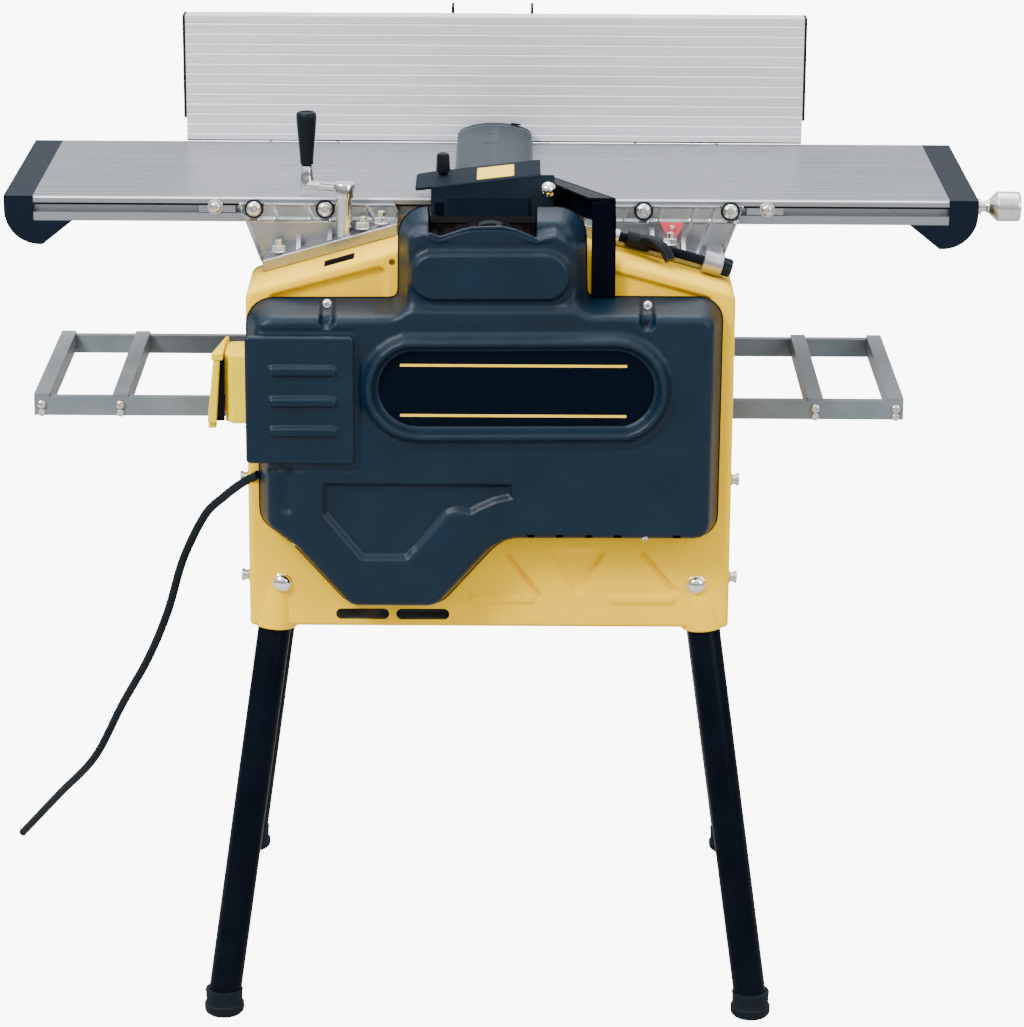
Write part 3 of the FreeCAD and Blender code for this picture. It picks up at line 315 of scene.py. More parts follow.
def prism(name, outline, axis, low, high, shade, soft=0.0, tilt=None):
    """Extrude an outline along X, Y or Z between two ends; tilt may shift each end point."""
    order = {"X": (2, 0, 1), "Y": (0, 2, 1), "Z": (0, 1, 2)}[axis]
    verts = [[(p[0], p[1], end)[k] for k in order] for end in (low, high) for p in outline]
    if tilt:
        verts = [tilt(*v) for v in verts]
    count = len(outline)
    faces = [tuple(range(count)), tuple(reversed(range(count, 2 * count)))]
    faces += [(i, i + count, (i + 1) % count + count, (i + 1) % count) for i in range(count)]
    thing = mesh_piece(name, verts, faces, shade)
    return soften(thing, soft) if soft else thing


def oblong(left, right, low, high):
    """Corners of a rectangle."""
    return [(left, low), (right, low), (right, high), (left, high)]


def stadium(x, z, half_long, half_high):
    """Outline of a long hole or pad with round ends, centred on a point."""
    points = []
    for i in range(24):
        turn = 2 * math.pi * i / 24
        shift = half_long - half_high if math.cos(turn) > 0 else half_high - half_long
        points.append(Vector((x + shift + half_high * math.cos(turn), z + half_high * math.sin(turn))))
    return points


# ---------------------------------------------------------------- relief panels
def distance(points, outline):
    """Distance of each point to a closed outline, positive inside."""
    corners = np.array([tuple(p) for p in outline])
    nearest = np.full(len(points), 1e9)
    inside = np.zeros(len(points), bool)
    for a, b in zip(corners, np.roll(corners, -1, axis=0)):
        side = b - a
        share = np.clip(((points - a) @ side) / max(side @ side, 1e-9), 0, 1)
        nearest = np.minimum(nearest, np.hypot(*(points - a - share[:, None] * side).T))
        if a[1] != b[1]:
            crosses = (a[1] > points[:, 1]) != (b[1] > points[:, 1])
            inside ^= crosses & (points[:, 0] < side[0] * (points[:, 1] - a[1]) / side[1] + a[0])
    return np.where(inside, nearest, -nearest)


def line_distance(points, path):
    """Distance of each point to an open path."""
    nearest = np.full(len(points), 1e9)
    for a, b in zip(np.array(path[:-1], float), np.array(path[1:], float)):
        side = b - a
        share = np.clip(((points - a) @ side) / (side @ side), 0, 1)
        nearest = np.minimum(nearest, np.hypot(*(points - a - share[:, None] * side).T))
    return nearest


def ramp(value, low, high):
    """Smooth step from 0 at low to 1 at high."""
    t = np.clip((value - low) / (high - low), 0, 1)
    return t * t * (3 - 2 * t)


def relief(name, outline, face, back, height, shade, cell=2.0, rim=8.0, holes=(), side=-1, thick=0.0,
           draft=0.0, bent=None):
    """A moulded or pressed panel square to Y. Its face carries a height map and may be set in by a draft.
    Its edge rolls over and runs back to the outline. A bend may move its points."""
    corners = np.array([tuple(p) for p in outline])
    low, high = corners.min(0) - cell, corners.max(0) + cell
    across = np.arange(low[0], high[0] + cell, cell)
    upward = np.arange(low[1], high[1] + cell, cell)
    grid = np.stack(np.meshgrid(across, upward), -1).reshape(-1, 2)

    def reach(points):
        inner = distance(points, outline) - draft
        for hole in holes:
            inner = np.minimum(inner, -distance(points, hole))
        return inner

    wide, tall = len(across), len(upward)
    middles = (grid.reshape(tall, wide, 2)[:-1, :-1] + cell / 2).reshape(-1, 2)
    kept = (reach(middles) > 0).reshape(tall - 1, wide - 1)
    quads = [(j * wide + i, j * wide + i + 1, (j + 1) * wide + i + 1, (j + 1) * wide + i)
             for j, i in zip(*np.nonzero(kept))]
    uses = {}
    for quad in quads:
        for a, b in zip(quad, quad[1:] + quad[:1]):
            uses[(a, b)] = uses.get((a, b), 0) + 1
    border = [edge for edge in uses if (edge[1], edge[0]) not in uses]
    rimmed = np.array(sorted({i for edge in border for i in edge}))
    nudge = 0.2
    nudges = ((nudge, 0), (0, nudge))
    for _ in range(3):
        spots = grid[rimmed]
        gap = reach(spots)
        slope = np.stack([reach(spots + step) - reach(spots - step) for step in nudges], -1) / (2 * nudge)
        grid[rimmed] = spots - gap[:, None] * slope
    used = sorted({i for quad in quads for i in quad})
    number = {old: new for new, old in enumerate(used)}
    spots = grid[used]
    outer = np.maximum(distance(spots, outline) - draft, 0)
    rise = height(spots, outer)
    if rim:
        rise = rise - (rim - np.sqrt(np.maximum(rim ** 2 - np.maximum(rim - outer, 0) ** 2, 0)))
    verts = [(p[0], face + side * r, p[1]) for p, r in zip(spots, rise)]
    faces = [tuple(number[i] for i in (quad if side < 0 else quad[::-1])) for quad in quads]
    ends = {}
    for old, lean in zip(rimmed, slope):
        x, z = grid[old] - lean * draft
        deep = back(x, z) if callable(back) else back
        if holes and min(abs(distance(grid[old][None], hole)[0]) for hole in holes) < 0.5:
            x, z = grid[old]
            deep = face - side * 3
        ends[old] = len(verts)
        verts.append((x, deep, z))
    for a, b in border:
        wall = (number[b], number[a], ends[a], ends[b])
        faces.append(wall if side < 0 else wall[::-1])
    if bent:
        verts = [bent(*v) for v in verts]
    thing = mesh_piece(name, verts, faces, shade, 50)
    if thick:
        shell = thing.modifiers.new("sheet", "SOLIDIFY")
        shell.thickness = thick * MM
    return thing


# ---------------------------------------------------------------- body shell
def way_height(x):
    """Height of the inclined way under a table, at a distance from the middle."""
    return WAY_LOW + (WALL_HALF - abs(x)) * math.tan(WAY_SLOPE)


def wall_outline():
    """Outline of both body walls: a box, the ways above it and the cutter's tower between them."""
    half = WALL_HALF
    return rounded([(-half, 421, 5), (half, 421, 5), (half, WAY_LOW, 12), (95, way_height(95), 10),
                    (66, 848, 6), (-66, 848, 6), (-95, way_height(95), 10), (-half, WAY_LOW, 12)], 5)


def front_wall_height(spots, outer):
    """Pressings of the front wall: recessed corner panels, slashes, triangle and pads on the apron."""
    rise = np.zeros(len(spots))
    for sign in (-1, 1):
        panel = rounded([(sign * 224, 762, 9), (sign * 103, 762, 9), (sign * 103, 807, 9),
                         (sign * 224, 774, 5)], 5)
        rise -= 6.5 * ramp(distance(spots, panel), 0, 5)
    for path in ([(18, 499), (51, 456)], [(157, 502), (190, 462)]):
        rise -= 5.0 * (1 - ramp(line_distance(spots, path), 1.2, 4))
    wedge = rounded([(57, 507), (123, 507), (90, 452)], 5)
    rise -= 5.0 * ramp(distance(spots, wedge), 0, 5)
    for left, right in ((-19, 45), (125, 190)):
        rise += 2.4 * (1 - ramp(line_distance(spots, [(left + 4, 453), (right - 4, 453)]), 2.5, 7))
    return rise


def front_wall():
    """Pressed sheet with two long holes at its foot, and a painted shadow strip marking a slot in the left
    way.
    """
    holes = [stadium(x, 435.5, 27.5, 6) for x in (-130.5, -68.5)]
    holes.append(stadium(-99, 808, 3.4, 3.3))
    panel = relief("front_wall_pressing", wall_outline(), -203, lambda x, z: -176 if z > 822 else -101,
                   front_wall_height, "yellow_paint", cell=1.6, rim=6, holes=holes, thick=2.2)
    settle(panel, ROOT, "yellow_paint", "front_wall")
    # painted shadow: a near-black strip laid on the way where a slot's shade falls
    shade_strip = prism("ledge_slot_shadow", oblong(-168, -138, -190, -168), "Z", 0, 0.8,
                  "slot_shadow", tilt=lambda x, y, z: (x, y, way_height(x) + 0.15 + z))
    settle(shade_strip, ROOT, "yellow_paint")


def rear_wall_height(spots, outer):
    """Pressings of the rear wall: a wide raised panel crossed by two grooves."""
    panel = rounded([(-200, 540), (200, 540), (200, 750), (-200, 750)], 18)
    rise = 4.0 * ramp(distance(spots, panel), 0, 9)
    for level in (600, 690):
        rise -= 3.0 * (1 - ramp(line_distance(spots, [(-170, level), (170, level)]), 2, 7))
    for path in ([(-60, 505), (-27, 456)], [(60, 505), (27, 456)]):
        rise -= 3.0 * (1 - ramp(line_distance(spots, path), 1.5, 6))
    return rise


def rear_wall():
    panel = relief("rear_wall_pressing", wall_outline(), 203, 174, rear_wall_height, "yellow_paint",
                   cell=2.5, rim=6, side=1, thick=2.2)
    settle(panel, ROOT, "yellow_paint", "rear_wall")


def leg_line(x_sign, y_sign, z):
    """Point on a leg's centre line at a height."""
    share = (z - LEG_LOW) / (LEG_HIGH - LEG_LOW)
    return Vector((x_sign * (278 - 61 * share), y_sign * (231 - 48 * share), z))


def legs_and_sockets():
    """Flared sockets, tubes and boots of the four legs, with the dome screws and side studs of the body."""
    flare = [(0, 18), (0, 23.6), (1.5, 24.6), (5, 24.6), (30, 21.5), (60, 16), (82, 10), (92, 6), (95, 2)]
    ribbed = [(0, 14), (0.6, 18), (3, 20.4), (6, 21), (11, 21), (12.5, 19.4), (14, 19.2), (24, 19.4),
              (26, 19.9), (27.5, 19.5), (28, 17.2)]
    domed = [(0, 10), (2.2, 10), (2.6, 9.4), (4.5, 8.9), (6.4, 7.2), (7.8, 4.6), (8.5, 1.2)]
    headed = [(0, 6.5), (1, 7), (1.4, 5), (5, 5), (5.3, 6.3), (8, 6.3), (8.4, 5.6)]
    sockets, legs, boots, domes = [], [], [], []
    for x_sign in (-1, 1):
        for y_sign in (-1, 1):
            foot, top = leg_line(x_sign, y_sign, LEG_LOW), leg_line(x_sign, y_sign, LEG_HIGH)
            run = top - foot
            seat = (x_sign * 222.5, y_sign * 184.5, 420)
            sockets.append(lathe("socket", seat, (-x_sign * 9, y_sign * 3, 90), flare, "yellow_paint"))
            length = run.length
            tube = [(0, 16.6), (0.5, 17), (length - 12, 17), (length - 10, 16)]
            legs.append(lathe("leg", foot + run.normalized() * 2, run, tube, "black_paint", 48))
            boots.append(lathe("boot", (foot.x, foot.y, 0), (0, 0, 1), ribbed, "rubber", 48))
            domes.append(lathe("dome", (x_sign * 213, y_sign * 202, 469), (0, y_sign, 0), domed, "chrome"))
            for height in (473, 578):
                spot = (x_sign * WALL_HALF, y_sign * 188, height)
                domes.append(lathe("stud", spot, (x_sign, 0, 0), headed, "zinc_steel"))
    settle(join("leg_sockets_flared", sockets), ROOT, "yellow_paint", "leg_sockets")
    settle(join("legs_tubes", legs), ROOT, "black_paint", "legs")
    settle(join("rubber_boots", boots), ROOT, "rubber", "rubber_feet")
    settle(join("side_studs", domes), ROOT, "chrome", "body_studs")


# ---------------------------------------------------------------- drive cover
def cover_outline():
    """Outline of the drive cover, with its neck above and its belly below on the left."""
    return rounded([(-235, 538, 24), (-235, 690, 1), (-246, 690, 1), (-246, 771, 28), (-93, 772, 8),
                    (-92, 866, 30), (95, 866, 30), (97, 774, 8), (234, 774, 24), (233, 521, 24),
                    (14, 520, 40), (-50, 447.5, 26), (-145, 447.5, 24), (-203, 513, 14)], 10)


def neck_ridge(x):
    """Height of the wavy ridge across the front of the neck."""
    return np.interp(x, [-96, -89, -78, -67, -58, -51, -44, -30, -19, 11, 24, 36, 45, 54, 64, 75, 85, 92],
                     [826, 837, 844, 846, 844, 841, 843, 848, 851, 852, 849, 844, 840, 843, 845, 839, 829,
                      818])


def neck_saddle(x, y, z):
    """Fold the top of the neck back and down behind its ridge, where the guard head hangs in front."""
    brow = neck_ridge(x) + 2
    if not NECK_LEFT < x < NECK_RIGHT or z < max(brow, NECK_LOW):
        return x, y, z
    back = COVER_BACK if y > COVER_BACK - 0.5 else min(NECK_FRONT + 2.2 * (z - brow), COVER_BACK - 0.5)
    return x, back, brow - 0.36 * (back - NECK_FRONT)


def cover_height(spots, outer):
    """Mouldings of the drive cover."""
    x, z = spots[:, 0], spots[:, 1]
    rise = np.zeros(len(spots))
    rise -= 5.0 * ramp(z, 764, 776)
    wave = neck_ridge(x)
    rise -= 16.0 * ramp(z - wave, 0, 5)
    rise += 1.6 * np.exp(-((z - wave + 2) / 2.4) ** 2)
    pad = distance(spots, stadium(-0.5, 803.5, 82, 27))
    rise += 6.0 * ramp(pad, 0, 6) - 1.8 * np.exp(-((pad + 4) / 4) ** 2)
    ring = distance(spots, stadium(*BADGE, 158.5, 59.5))
    rise += 8.0 * np.exp(-((ring - 10) / 5.5) ** 2)
    rise -= 3.0 * ramp(ring, 12, 20) + 2.0 * np.exp(-((ring + 3) / 7) ** 2)
    for middle in (-163, 157):
        key = distance(spots, stadium(middle, 757, 8, 8))
        key = np.maximum(key, distance(spots, rounded([(middle - 8, 757), (middle + 8, 757),
                                                       (middle + 6.5, 784), (middle - 6.5, 784)], 0)))
        rise -= 13.0 * ramp(key, -0.5, 3)
    pocket = rounded([(-171, 591), (-171, 555), (-131, 506), (-68, 506), (-31, 546), (-10, 560), (8, 568),
                      (26, 572), (26, 591)], 3)
    blurred = 1 - ramp(line_distance(spots, [(-64, 512), (-36, 548)]), 6, 22)
    rise -= 6.5 * ramp(distance(spots, pocket) / (8 + 30 * blurred), 0, 1)
    rise -= 4.5 * np.exp(-(line_distance(spots, [(-205, 606), (-205, 563)]) / 7) ** 2)
    panel = distance(spots, rounded(oblong(-262, -134, 606, 745), 4))
    rise -= 1.5 * np.exp(-((panel + 2.5) / 2.5) ** 2)
    return rise


def level_face(spots, outer):
    """Height map of a panel with no mouldings."""
    return 0 * outer


def drive_cover():
    """The cover, the lip of its neck, painted shadow plates at its rim, neck, tower top and notches, and its
    badge with two plain lines.
    """
    notches = [rounded(oblong(x - 4, x + 4, 532, 535.5), 0.6) for x in (42, 71, 101, 130, 190)]
    cover = relief("drive_cover_moulding", cover_outline(), COVER_FACE, COVER_BACK, cover_height,
                   "navy_plastic", cell=1.7, rim=11, holes=notches, draft=9, bent=neck_saddle)
    settle(cover, ROOT, "navy_plastic", "drive_cover")
    # painted shadow: a near-black plate behind the folded neck, where the guard head shades it
    shade = prism("cover_saddle_painted_shadow", oblong(-62, 47, 839.5, 849.5), "Y", -205, -203.4, "slot_shadow")
    settle(shade, ROOT, "navy_plastic")
    crest = [(x, -241.8, neck_ridge(x) + 1.2) for x in np.linspace(NECK_LEFT, NECK_RIGHT, 40)]
    settle(sweep("cover_neck_lip", crest, 1.7, "navy_plastic", 16), ROOT, "navy_plastic")
    # painted shadow: a near-black plate on the wall's top flange between the cover's shoulders
    shade_strip = prism("tower_top_painted_shadow", oblong(-62, 47, -205, -175), "Z", 848.2, 849.2, "slot_shadow")
    settle(shade_strip, ROOT, "yellow_paint")
    # painted shadow: a near-black sheet just outside the cover's outline, drawn as the dark gap around it
    lip = relief("drive_cover_rim_shadow", cover_outline(), -204.2, -203.2, level_face, "slot_shadow", cell=4,
                 rim=0.5, draft=-0.8, bent=neck_saddle)
    settle(lip, ROOT, "navy_plastic")
    # painted shadow: a near-black plate behind the vent notches
    notch_shade = prism("cover_notch_painted_shadow", oblong(30, 204, 530, 537), "Y", -237, -235, "slot_shadow")
    settle(notch_shade, ROOT, "navy_plastic")
    disc = relief("badge_disc", stadium(*BADGE, 139, 40), -245.2, -243, level_face, "badge_navy", cell=4,
                  rim=0.8)
    settle(disc, ROOT, "navy_plastic")
    for number, level in enumerate((712.5, 660.5)):
        bar = rounded(oblong(-90, 137, level - 1.3, level + 1.3), 0.5)
        stripe = prism(f"badge_stripe_{number}", bar, "Y", -245.8, -245, "badge_yellow")
        settle(stripe, ROOT, "navy_plastic")


def electrics_cover():
    """The box at the left of the cover, with three raised bars."""
    def height(spots, outer):
        rise = np.zeros(len(spots))
        for level in (708, 676, 645):
            rise += 4.5 * ramp(distance(spots, stadium(-187.5, level, 36, 6.8)), 0, 4)
        return rise
    plate = relief("electrics_cover_moulding", rounded(oblong(-245, -136, 611, 743), 4), -253.5, -245,
                   height, "navy_plastic", cell=1.5, rim=2.5)
    settle(plate, ROOT, "navy_plastic", "electrics_cover")


def recessed_screw(name, base, axis, radius, shade="zinc_steel"):
    """A button-head screw with a driver recess."""
    button = [(0, 1), (0.25, 1), (0.5, 0.86), (0.66, 0.6), (0.7, 0.42), (0.66, 0.38), (0.2, 0.36)]
    turning = [(radius * along, radius * wide) for along, wide in button]
    return lathe(name, base, axis, turning + [(radius * 0.2, 0.1)], shade)


def cover_screws():
    """Two screws in the keyholes of the cover and two at its lower edge."""
    screws = [recessed_screw("cover_screw", (x, -233, 772), (0, -1, 0.12), 5.0) for x in (-163, 157)]
    screws.append(recessed_screw("rim_screw", (-197, -238, 524), (-0.4, -1, -0.3), 3.8))
    screws.append(recessed_screw("rim_screw", (158, -241, 531), (0, -1, -0.6), 3.6))
    settle(join("cover_screws_turned", screws), ROOT, "zinc_steel", "cover_screws")


# ---------------------------------------------------------------- brackets, bolts and nuts
def bracket_height(sign, slants):
    """Raised ribs of a bracket web: its rim, a level rib and the slanted ribs above it."""
    def height(spots, outer):
        rise = 2.2 * (1 - ramp(outer, 1.6, 3.2))
        for path in slants + [[(sign * 100, 830), (sign * 250, 830)]]:
            rise = np.maximum(rise, 2.0 * (1 - ramp(line_distance(spots, path), 0.8, 2.2)))
        for place in (170, 243) if sign < 0 else (156, 245):
            rise = np.where(np.hypot(spots[:, 0] - sign * place, spots[:, 1] - BOLT_LEVEL) < 11.5, 0.0, rise)
        return rise
    return height


def bracket(name, sign, slants, y_back, front, foot_ends, body, node_name):
    """A cast table bracket: a ribbed web, a foot on the way and two ribs between them."""
    y_face, side = WEB_SIDES[0 if front else 1]
    outline = [(sign * 95, way_height(95)), (sign * 233, way_height(233)), (sign * 237, way_height(233) + 6),
               (sign * 259, 847), (sign * 99, 847), (sign * 95, 839)]
    web = relief(name + "_web", rounded(outline, 1.5), y_face, y_back, bracket_height(sign, slants),
                 "cast_aluminium", cell=1.2, rim=0.6, side=side)
    foot = [(sign * 95, way_height(95)), (sign * 233, way_height(233)), (sign * 233, way_height(233) + 12.5),
            (sign * 95, way_height(95) + 12.5)]
    flange = prism(name + "_flange", foot, "Y", *foot_ends, "cast_aluminium", 1.2)
    ribs = []
    for place in (165, 197):
        seat = way_height(place) + 6
        near, far = sorted((foot_ends[0] if side < 0 else foot_ends[1], y_face))
        ribs.append(prism(name + "_rib", [(near, seat), (far, seat), (far, seat + 18 if side < 0 else seat),
                                          (near, seat if side < 0 else seat + 18)], "X", sign * place - 2.5,
                          sign * place + 2.5, "cast_aluminium", 0.8))
    settle(join(name, [web, flange] + ribs), body, "cast_aluminium", node_name)


def brackets():
    """The four table brackets, and the boss of the table lock on the infeed table's front bracket."""
    left = [[(-225.6, 847), (-218.7, 830)], [(-190.9, 847), (-182.2, 830)], [(-128, 847), (-120, 830)]]
    right = [[(176, 847), (171, 831)], [(211, 847), (194, 803)], [(230, 843), (213, 796)],
             [(140, 847), (135, 831)]]
    for word, sign, slants, body in (("outfeed", -1, left, ROOT), ("infeed", 1, right, "infeed")):
        for place, y_back, foot_ends in (("front", -103, (-139, -108)), ("rear", 177, (182, 199))):
            bracket(f"{word}_{place}_casting", sign, slants, y_back, place == "front", foot_ends, body,
                    f"{word}_{place}_bracket")
    boss = lathe("lock_boss", LOCK_START + WAY * 102, WAY,
                 [(0, 5.2), (0, 11), (1, 12), (19, 12), (20, 11), (20, 5.2)], "cast_aluminium")
    arm = prism("lock_arm", rounded([(217, 792), (236, 788), (238, 806), (221, 806)], 3), "Y", -146, -108,
                "cast_aluminium", 1.5)
    settle(join("lock_boss_casting", [boss, arm]), "infeed", "cast_aluminium")


def hex_nut(base, across, tall):
    """A chamfered hexagonal nut with a washer under it and a stud end above it."""
    corner = across / HEX_RATIO
    nut = lathe("nut", base, (0, 0, 1), [(3, corner * 0.93), (3.7, corner), (tall - 0.8, corner),
                                         (tall, corner * 0.9)], "zinc_steel", 6)
    turning = [(2, 8.3), (2.2, 8.6), (3.0, 8.6), (3.3, 8.2)]
    washer = lathe("washer", base, (0, 0, 1), turning, "zinc_steel", 32)
    stud = lathe("stud", base, (0, 0, 1), [(tall - 1, 4), (14, 4), (14.8, 3.2)], "zinc_steel", 20)
    return [nut, washer, stud]


def bolts():
    """Screws and rubber rings of the brackets, the screw in each table's slot, and the nuts on the feet."""
    for word, sign, body in (("outfeed", -1, ROOT), ("infeed", 1, "infeed")):
        places = (170, 243) if sign < 0 else (156, 245)
        metal, rings = [], []
        for place in places:
            for y_face, way in WEB_SIDES:
                spot = Vector((sign * place, y_face, BOLT_LEVEL))
                metal.append(recessed_screw("head", spot + Vector((0, way * 0.6, 0)), (0, way, 0), 8))
                rings.append(lathe("ring", spot, (0, way, 0), [(0, 9.6), (0.9, 9.9), (1.8, 9.3), (1.8, 7.6)],
                                   "rubber"))
        metal.append(recessed_screw("slot_head", (sign * 283, -103.5, BOLT_LEVEL), (0, -1, 0), 6))
        metal.append(lathe("slot_washer", (sign * 283, -102, BOLT_LEVEL), (0, -1, 0),
                           [(0, 8), (1.4, 8), (1.9, 7.4)], "zinc_steel"))
        for place in (112, 131, 217) if sign < 0 else (112, 183):
            metal += hex_nut(Vector((sign * place, -125, way_height(place) + 12.5)), 13, 9)
        settle(join(f"{word}_bolt_set", metal), body, "zinc_steel", f"{word}_bolts")
        settle(join(f"{word}_bolt_rings", rings), body, "rubber")


# ---------------------------------------------------------------- controls
def crank():
    """Forged crank arm of the lift and its turned grip."""
    place, end = Vector((-150, -123, 0)), Vector((-189.2, -93.6, 0))
    hub_turning = [(786, 8), (856, 8), (857, 10.5), (870, 11.2), (871.5, 10.4), (872, 7), (872.6, 2)]
    eye_turning = [(859, 6), (860, 7.4), (869, 7.4), (872, 6.6), (881, 6), (883, 6.2), (883.6, 5)]
    hub = lathe("hub", place, (0, 0, 1), hub_turning, "chrome")
    eye = lathe("eye", end, (0, 0, 1), eye_turning, "chrome")
    arm = sweep("arm", [place + Vector((0, 0, 864)), place.lerp(end, 0.3) + Vector((0, 0, 865.2)),
                        place.lerp(end, 0.7) + Vector((0, 0, 864)), end + Vector((0, 0, 864))],
                lambda t: 8.2 - 2.0 * t, "chrome", flat=0.62)
    settle(join("crank_arm_forged", [hub, eye, arm]), "crank", "chrome", "crank_arm")
    turning = [(884, 5.2), (884.5, 6.4), (886, 6.7), (890, 6.7), (904, 7.8), (920, 9.3), (932, 10.2),
               (936, 10.2), (938.4, 9.0), (939, 7.0), (937.6, 5.6), (937.4, 0.8)]
    grip = lathe("crank_grip_moulded", end, (0, 0, 1), turning, "black_plastic", wobble=fluted(8, 0.02))
    settle(grip, "grip", "black_plastic", "crank_grip")


def depth_knob():
    """Knurled knob at the outer end of the infeed table."""
    def knurl(turn, along):
        return 1 + (0.009 * math.cos(48 * turn) if 523 < along < 541 else 0)
    turning = [(498, 5.5), (501, 5.5), (501, 8), (504, 8), (504, 5.6), (508.5, 5.6), (510, 6.4), (512, 7.2),
               (519, 14.2), (521, 15.4), (522.9, 15.6), (523.2, 15.3), (541, 15.3), (541.2, 15.6),
               (543, 15.2), (544, 13.8), (543.2, 11), (543.2, 0.8)]
    knob = lathe("depth_knob_turned", (0, -88, 843), (1, 0, 0), turning, "stainless", 192, knurl, 20)
    settle(knob, "depth_knob", "stainless", "depth_knob")


def table_lock():
    """The infeed table's lock lever on its rod along the ways, and the red depth pointer with its screws."""
    start, way = LOCK_START, WAY
    shaft = lathe("shaft", start, way, [(0, 4), (1, 5), (122, 5)], "black_paint")
    collar = lathe("collar", start, way, [(2, 5), (2, 7), (12, 7), (12, 5)], "zinc_steel")
    hub = lathe("hub", start, way, [(20, 6), (21, 8.6), (43, 8.2), (46, 6.5)], "black_plastic")
    cap = lathe("cap", start, way, [(122, 7), (123, 9), (130, 9), (132, 7.6), (132.4, 2)], "black_plastic",
                wobble=fluted(10, 0.05))
    root = start + way * 34
    arm = sweep("arm", [root, root + Vector((10, -5, 3)), root + Vector((24, -14, -3)),
                        root + Vector((31, -20, -14))], lambda t: 8.0 - 2.6 * t + 1.4 * t ** 3,
                "black_plastic", flat=0.8)
    settle(join("table_lock_lever_moulded", [shaft, collar, hub, cap, arm]), "table_lock", "black_paint",
           "table_lock_lever")
    plate = prism("depth_pointer_plate", rounded([(173, 829.5), (198, 829.5), (185.5, 802.5)], 1.2), "Y",
                  -111.2, -109.4, "red_plastic", 0.4)
    settle(plate, "infeed", "red_plastic", "depth_pointer")
    screws = [recessed_screw("pointer_screw", (185.5, -111.2, z), (0, -1, 0), 3) for z in (824, 815)]
    settle(join("pointer_screws", screws), "infeed", "zinc_steel")


# ---------------------------------------------------------------- cutter guard
def head_top(x):
    """Height of the guard head's sloping top at a distance from the middle."""
    return 873 + 0.12 * (x + 61)


def on_head(x, y, z):
    """Lift a point by the height of the guard head's top."""
    return x, y, z + head_top(x)


def guard_head():
    """Bent sheet of the guard head with its front panel, and a plain yellow label."""
    plate = prism("plate", rounded([(-77, -145, 5), (50, -146, 1), (50, -72, 2), (-62, -72, 3),
                                    (-77, -75, 6)], 2), "Z", -3, 0, "head_paint", 0.8, tilt=on_head)
    front = prism("front", rounded([(-61, 842), (64, 842), (64, 886), (50, 886), (-61, 873)], 1.5), "Y",
                  -149, -146.2, "head_paint", 0.7)
    panel = prism("panel", rounded(oblong(-46, 38, 839.5, 864), 1.5), "Y", -152.2, -149.2, "head_paint", 0.7)
    clamp = prism("clamp", oblong(-28, 28, 845, 873), "Y", -146.4, -143.2, "black_paint", 0.6)
    latch = prism("latch", rounded(oblong(-57, -49, 845, 858), 1), "Y", -151, -149, "badge_navy", 0.6)
    bolt = recessed_screw("bolt", (56, -149, 850), (0, -1, 0), 4, "black_plastic")
    settle(join("guard_head_bent_sheet", [plate, front, panel, clamp, latch, bolt]), "guard_head",
           "black_paint", "guard_head")
    label = prism("guard_label_plain", rounded(oblong(-14.5, 23, -138, -84), 1.5), "Z", 0.05, 0.5,
                  "badge_yellow", tilt=on_head)
    settle(label, "guard_head", "black_paint")


def guard_knobs():
    """Fluted knob that clamps the beam, and the chrome ball that clamps the head."""
    spot = (-49.5, -97, 0)
    grip = lathe("grip", spot, (0, 0, 1), [(877.6, 4.6), (878, 6.8), (880, 7), (894, 6.4), (897, 5.6),
                                           (898, 3)], "black_plastic", 48, wobble=fluted(8, 0.035))
    stem = lathe("stem", spot, (0, 0, 1), [(875.2, 5), (876.6, 5), (877, 4), (879, 4)], "black_paint")
    settle(join("guard_knob_moulded", [grip, stem]), "guard_knob", "black_plastic", "guard_knob")
    ball = [(8 * math.sin(a) + 11, 8 * math.cos(a)) for a in np.linspace(-1.0, 1.5, 18)]
    knob = lathe("guard_ball_turned", (57.5, -149.2, 874), (0, -1, 0), [(0, 5), (1.6, 5), (1.8, 3.8)] + ball,
                 "chrome", 48)
    settle(knob, "guard_ball", "chrome", "guard_ball_knob")


def guard_beam():
    """The arched beam, with a raised rim across its far end and two moulded lines on its back."""
    verts, faces = [], []
    across = np.linspace(-1, 1, 33)
    ends = [(-66, 0), (-64, 1), (146, 1), (147, 1.7), (153, 1.7), (154, 1), (164, 1), (165, 1.8),
            (167.3, 1.6), (168, 0.4)]
    for y, full in ends:
        for s in across:
            arch = 862.5 + 8 * (1 - abs(s) ** 2.2) + 5 * (1 - abs(s) ** 8) ** 0.5
            verts.append((2.5 + 40.5 * s, y, arch - 1.2 + 1.2 * full))
    for y, _ in ends:
        for s in across:
            verts.append((2.5 + 38.5 * s, y, 860 + 8 * (1 - abs(s) ** 2.2)))
    count, rows = len(across), len(ends)
    for r in range(rows - 1):
        for i in range(count - 1):
            a = r * count + i
            faces.append((a, a + 1, a + 1 + count, a + count))
            b = a + rows * count
            faces.append((b, b + count, b + 1 + count, b + 1))
    for r in (0, rows - 1):
        for i in range(count - 1):
            a, b = r * count + i, (r + rows) * count + i
            faces.append((a, b, b + 1, a + 1) if r == 0 else (a, a + 1, b + 1, b))
    for i in (0, count - 1):
        for r in range(rows - 1):
            a, b = r * count + i, (r + rows) * count + i
            faces.append((a, a + count, b + count, b) if i == 0 else (a, b, b + count, a + count))
    beam = mesh_piece("guard_beam_arched", verts, faces, "grey_plastic", 40)
    settle(beam, "guard_beam", "grey_plastic", "guard_beam")
    marks = [prism("mark", rounded(oblong(-half, half, y - 1.4, y + 1.4), 1.2), "Z", 875.2, 875.9,
                   "grey_plastic", 0.3) for y, half in ((112, 6), (63, 9))]
    marks.append(prism("slot", rounded(oblong(20, 31, 163, 167), 1.5), "Z", 875.2, 876.6, "black_plastic",
                       0.3, tilt=lambda x, y, z: (x, y, z - 0.13 * (x - 20))))
    settle(join("guard_beam_marks", marks), "guard_beam", "grey_plastic")


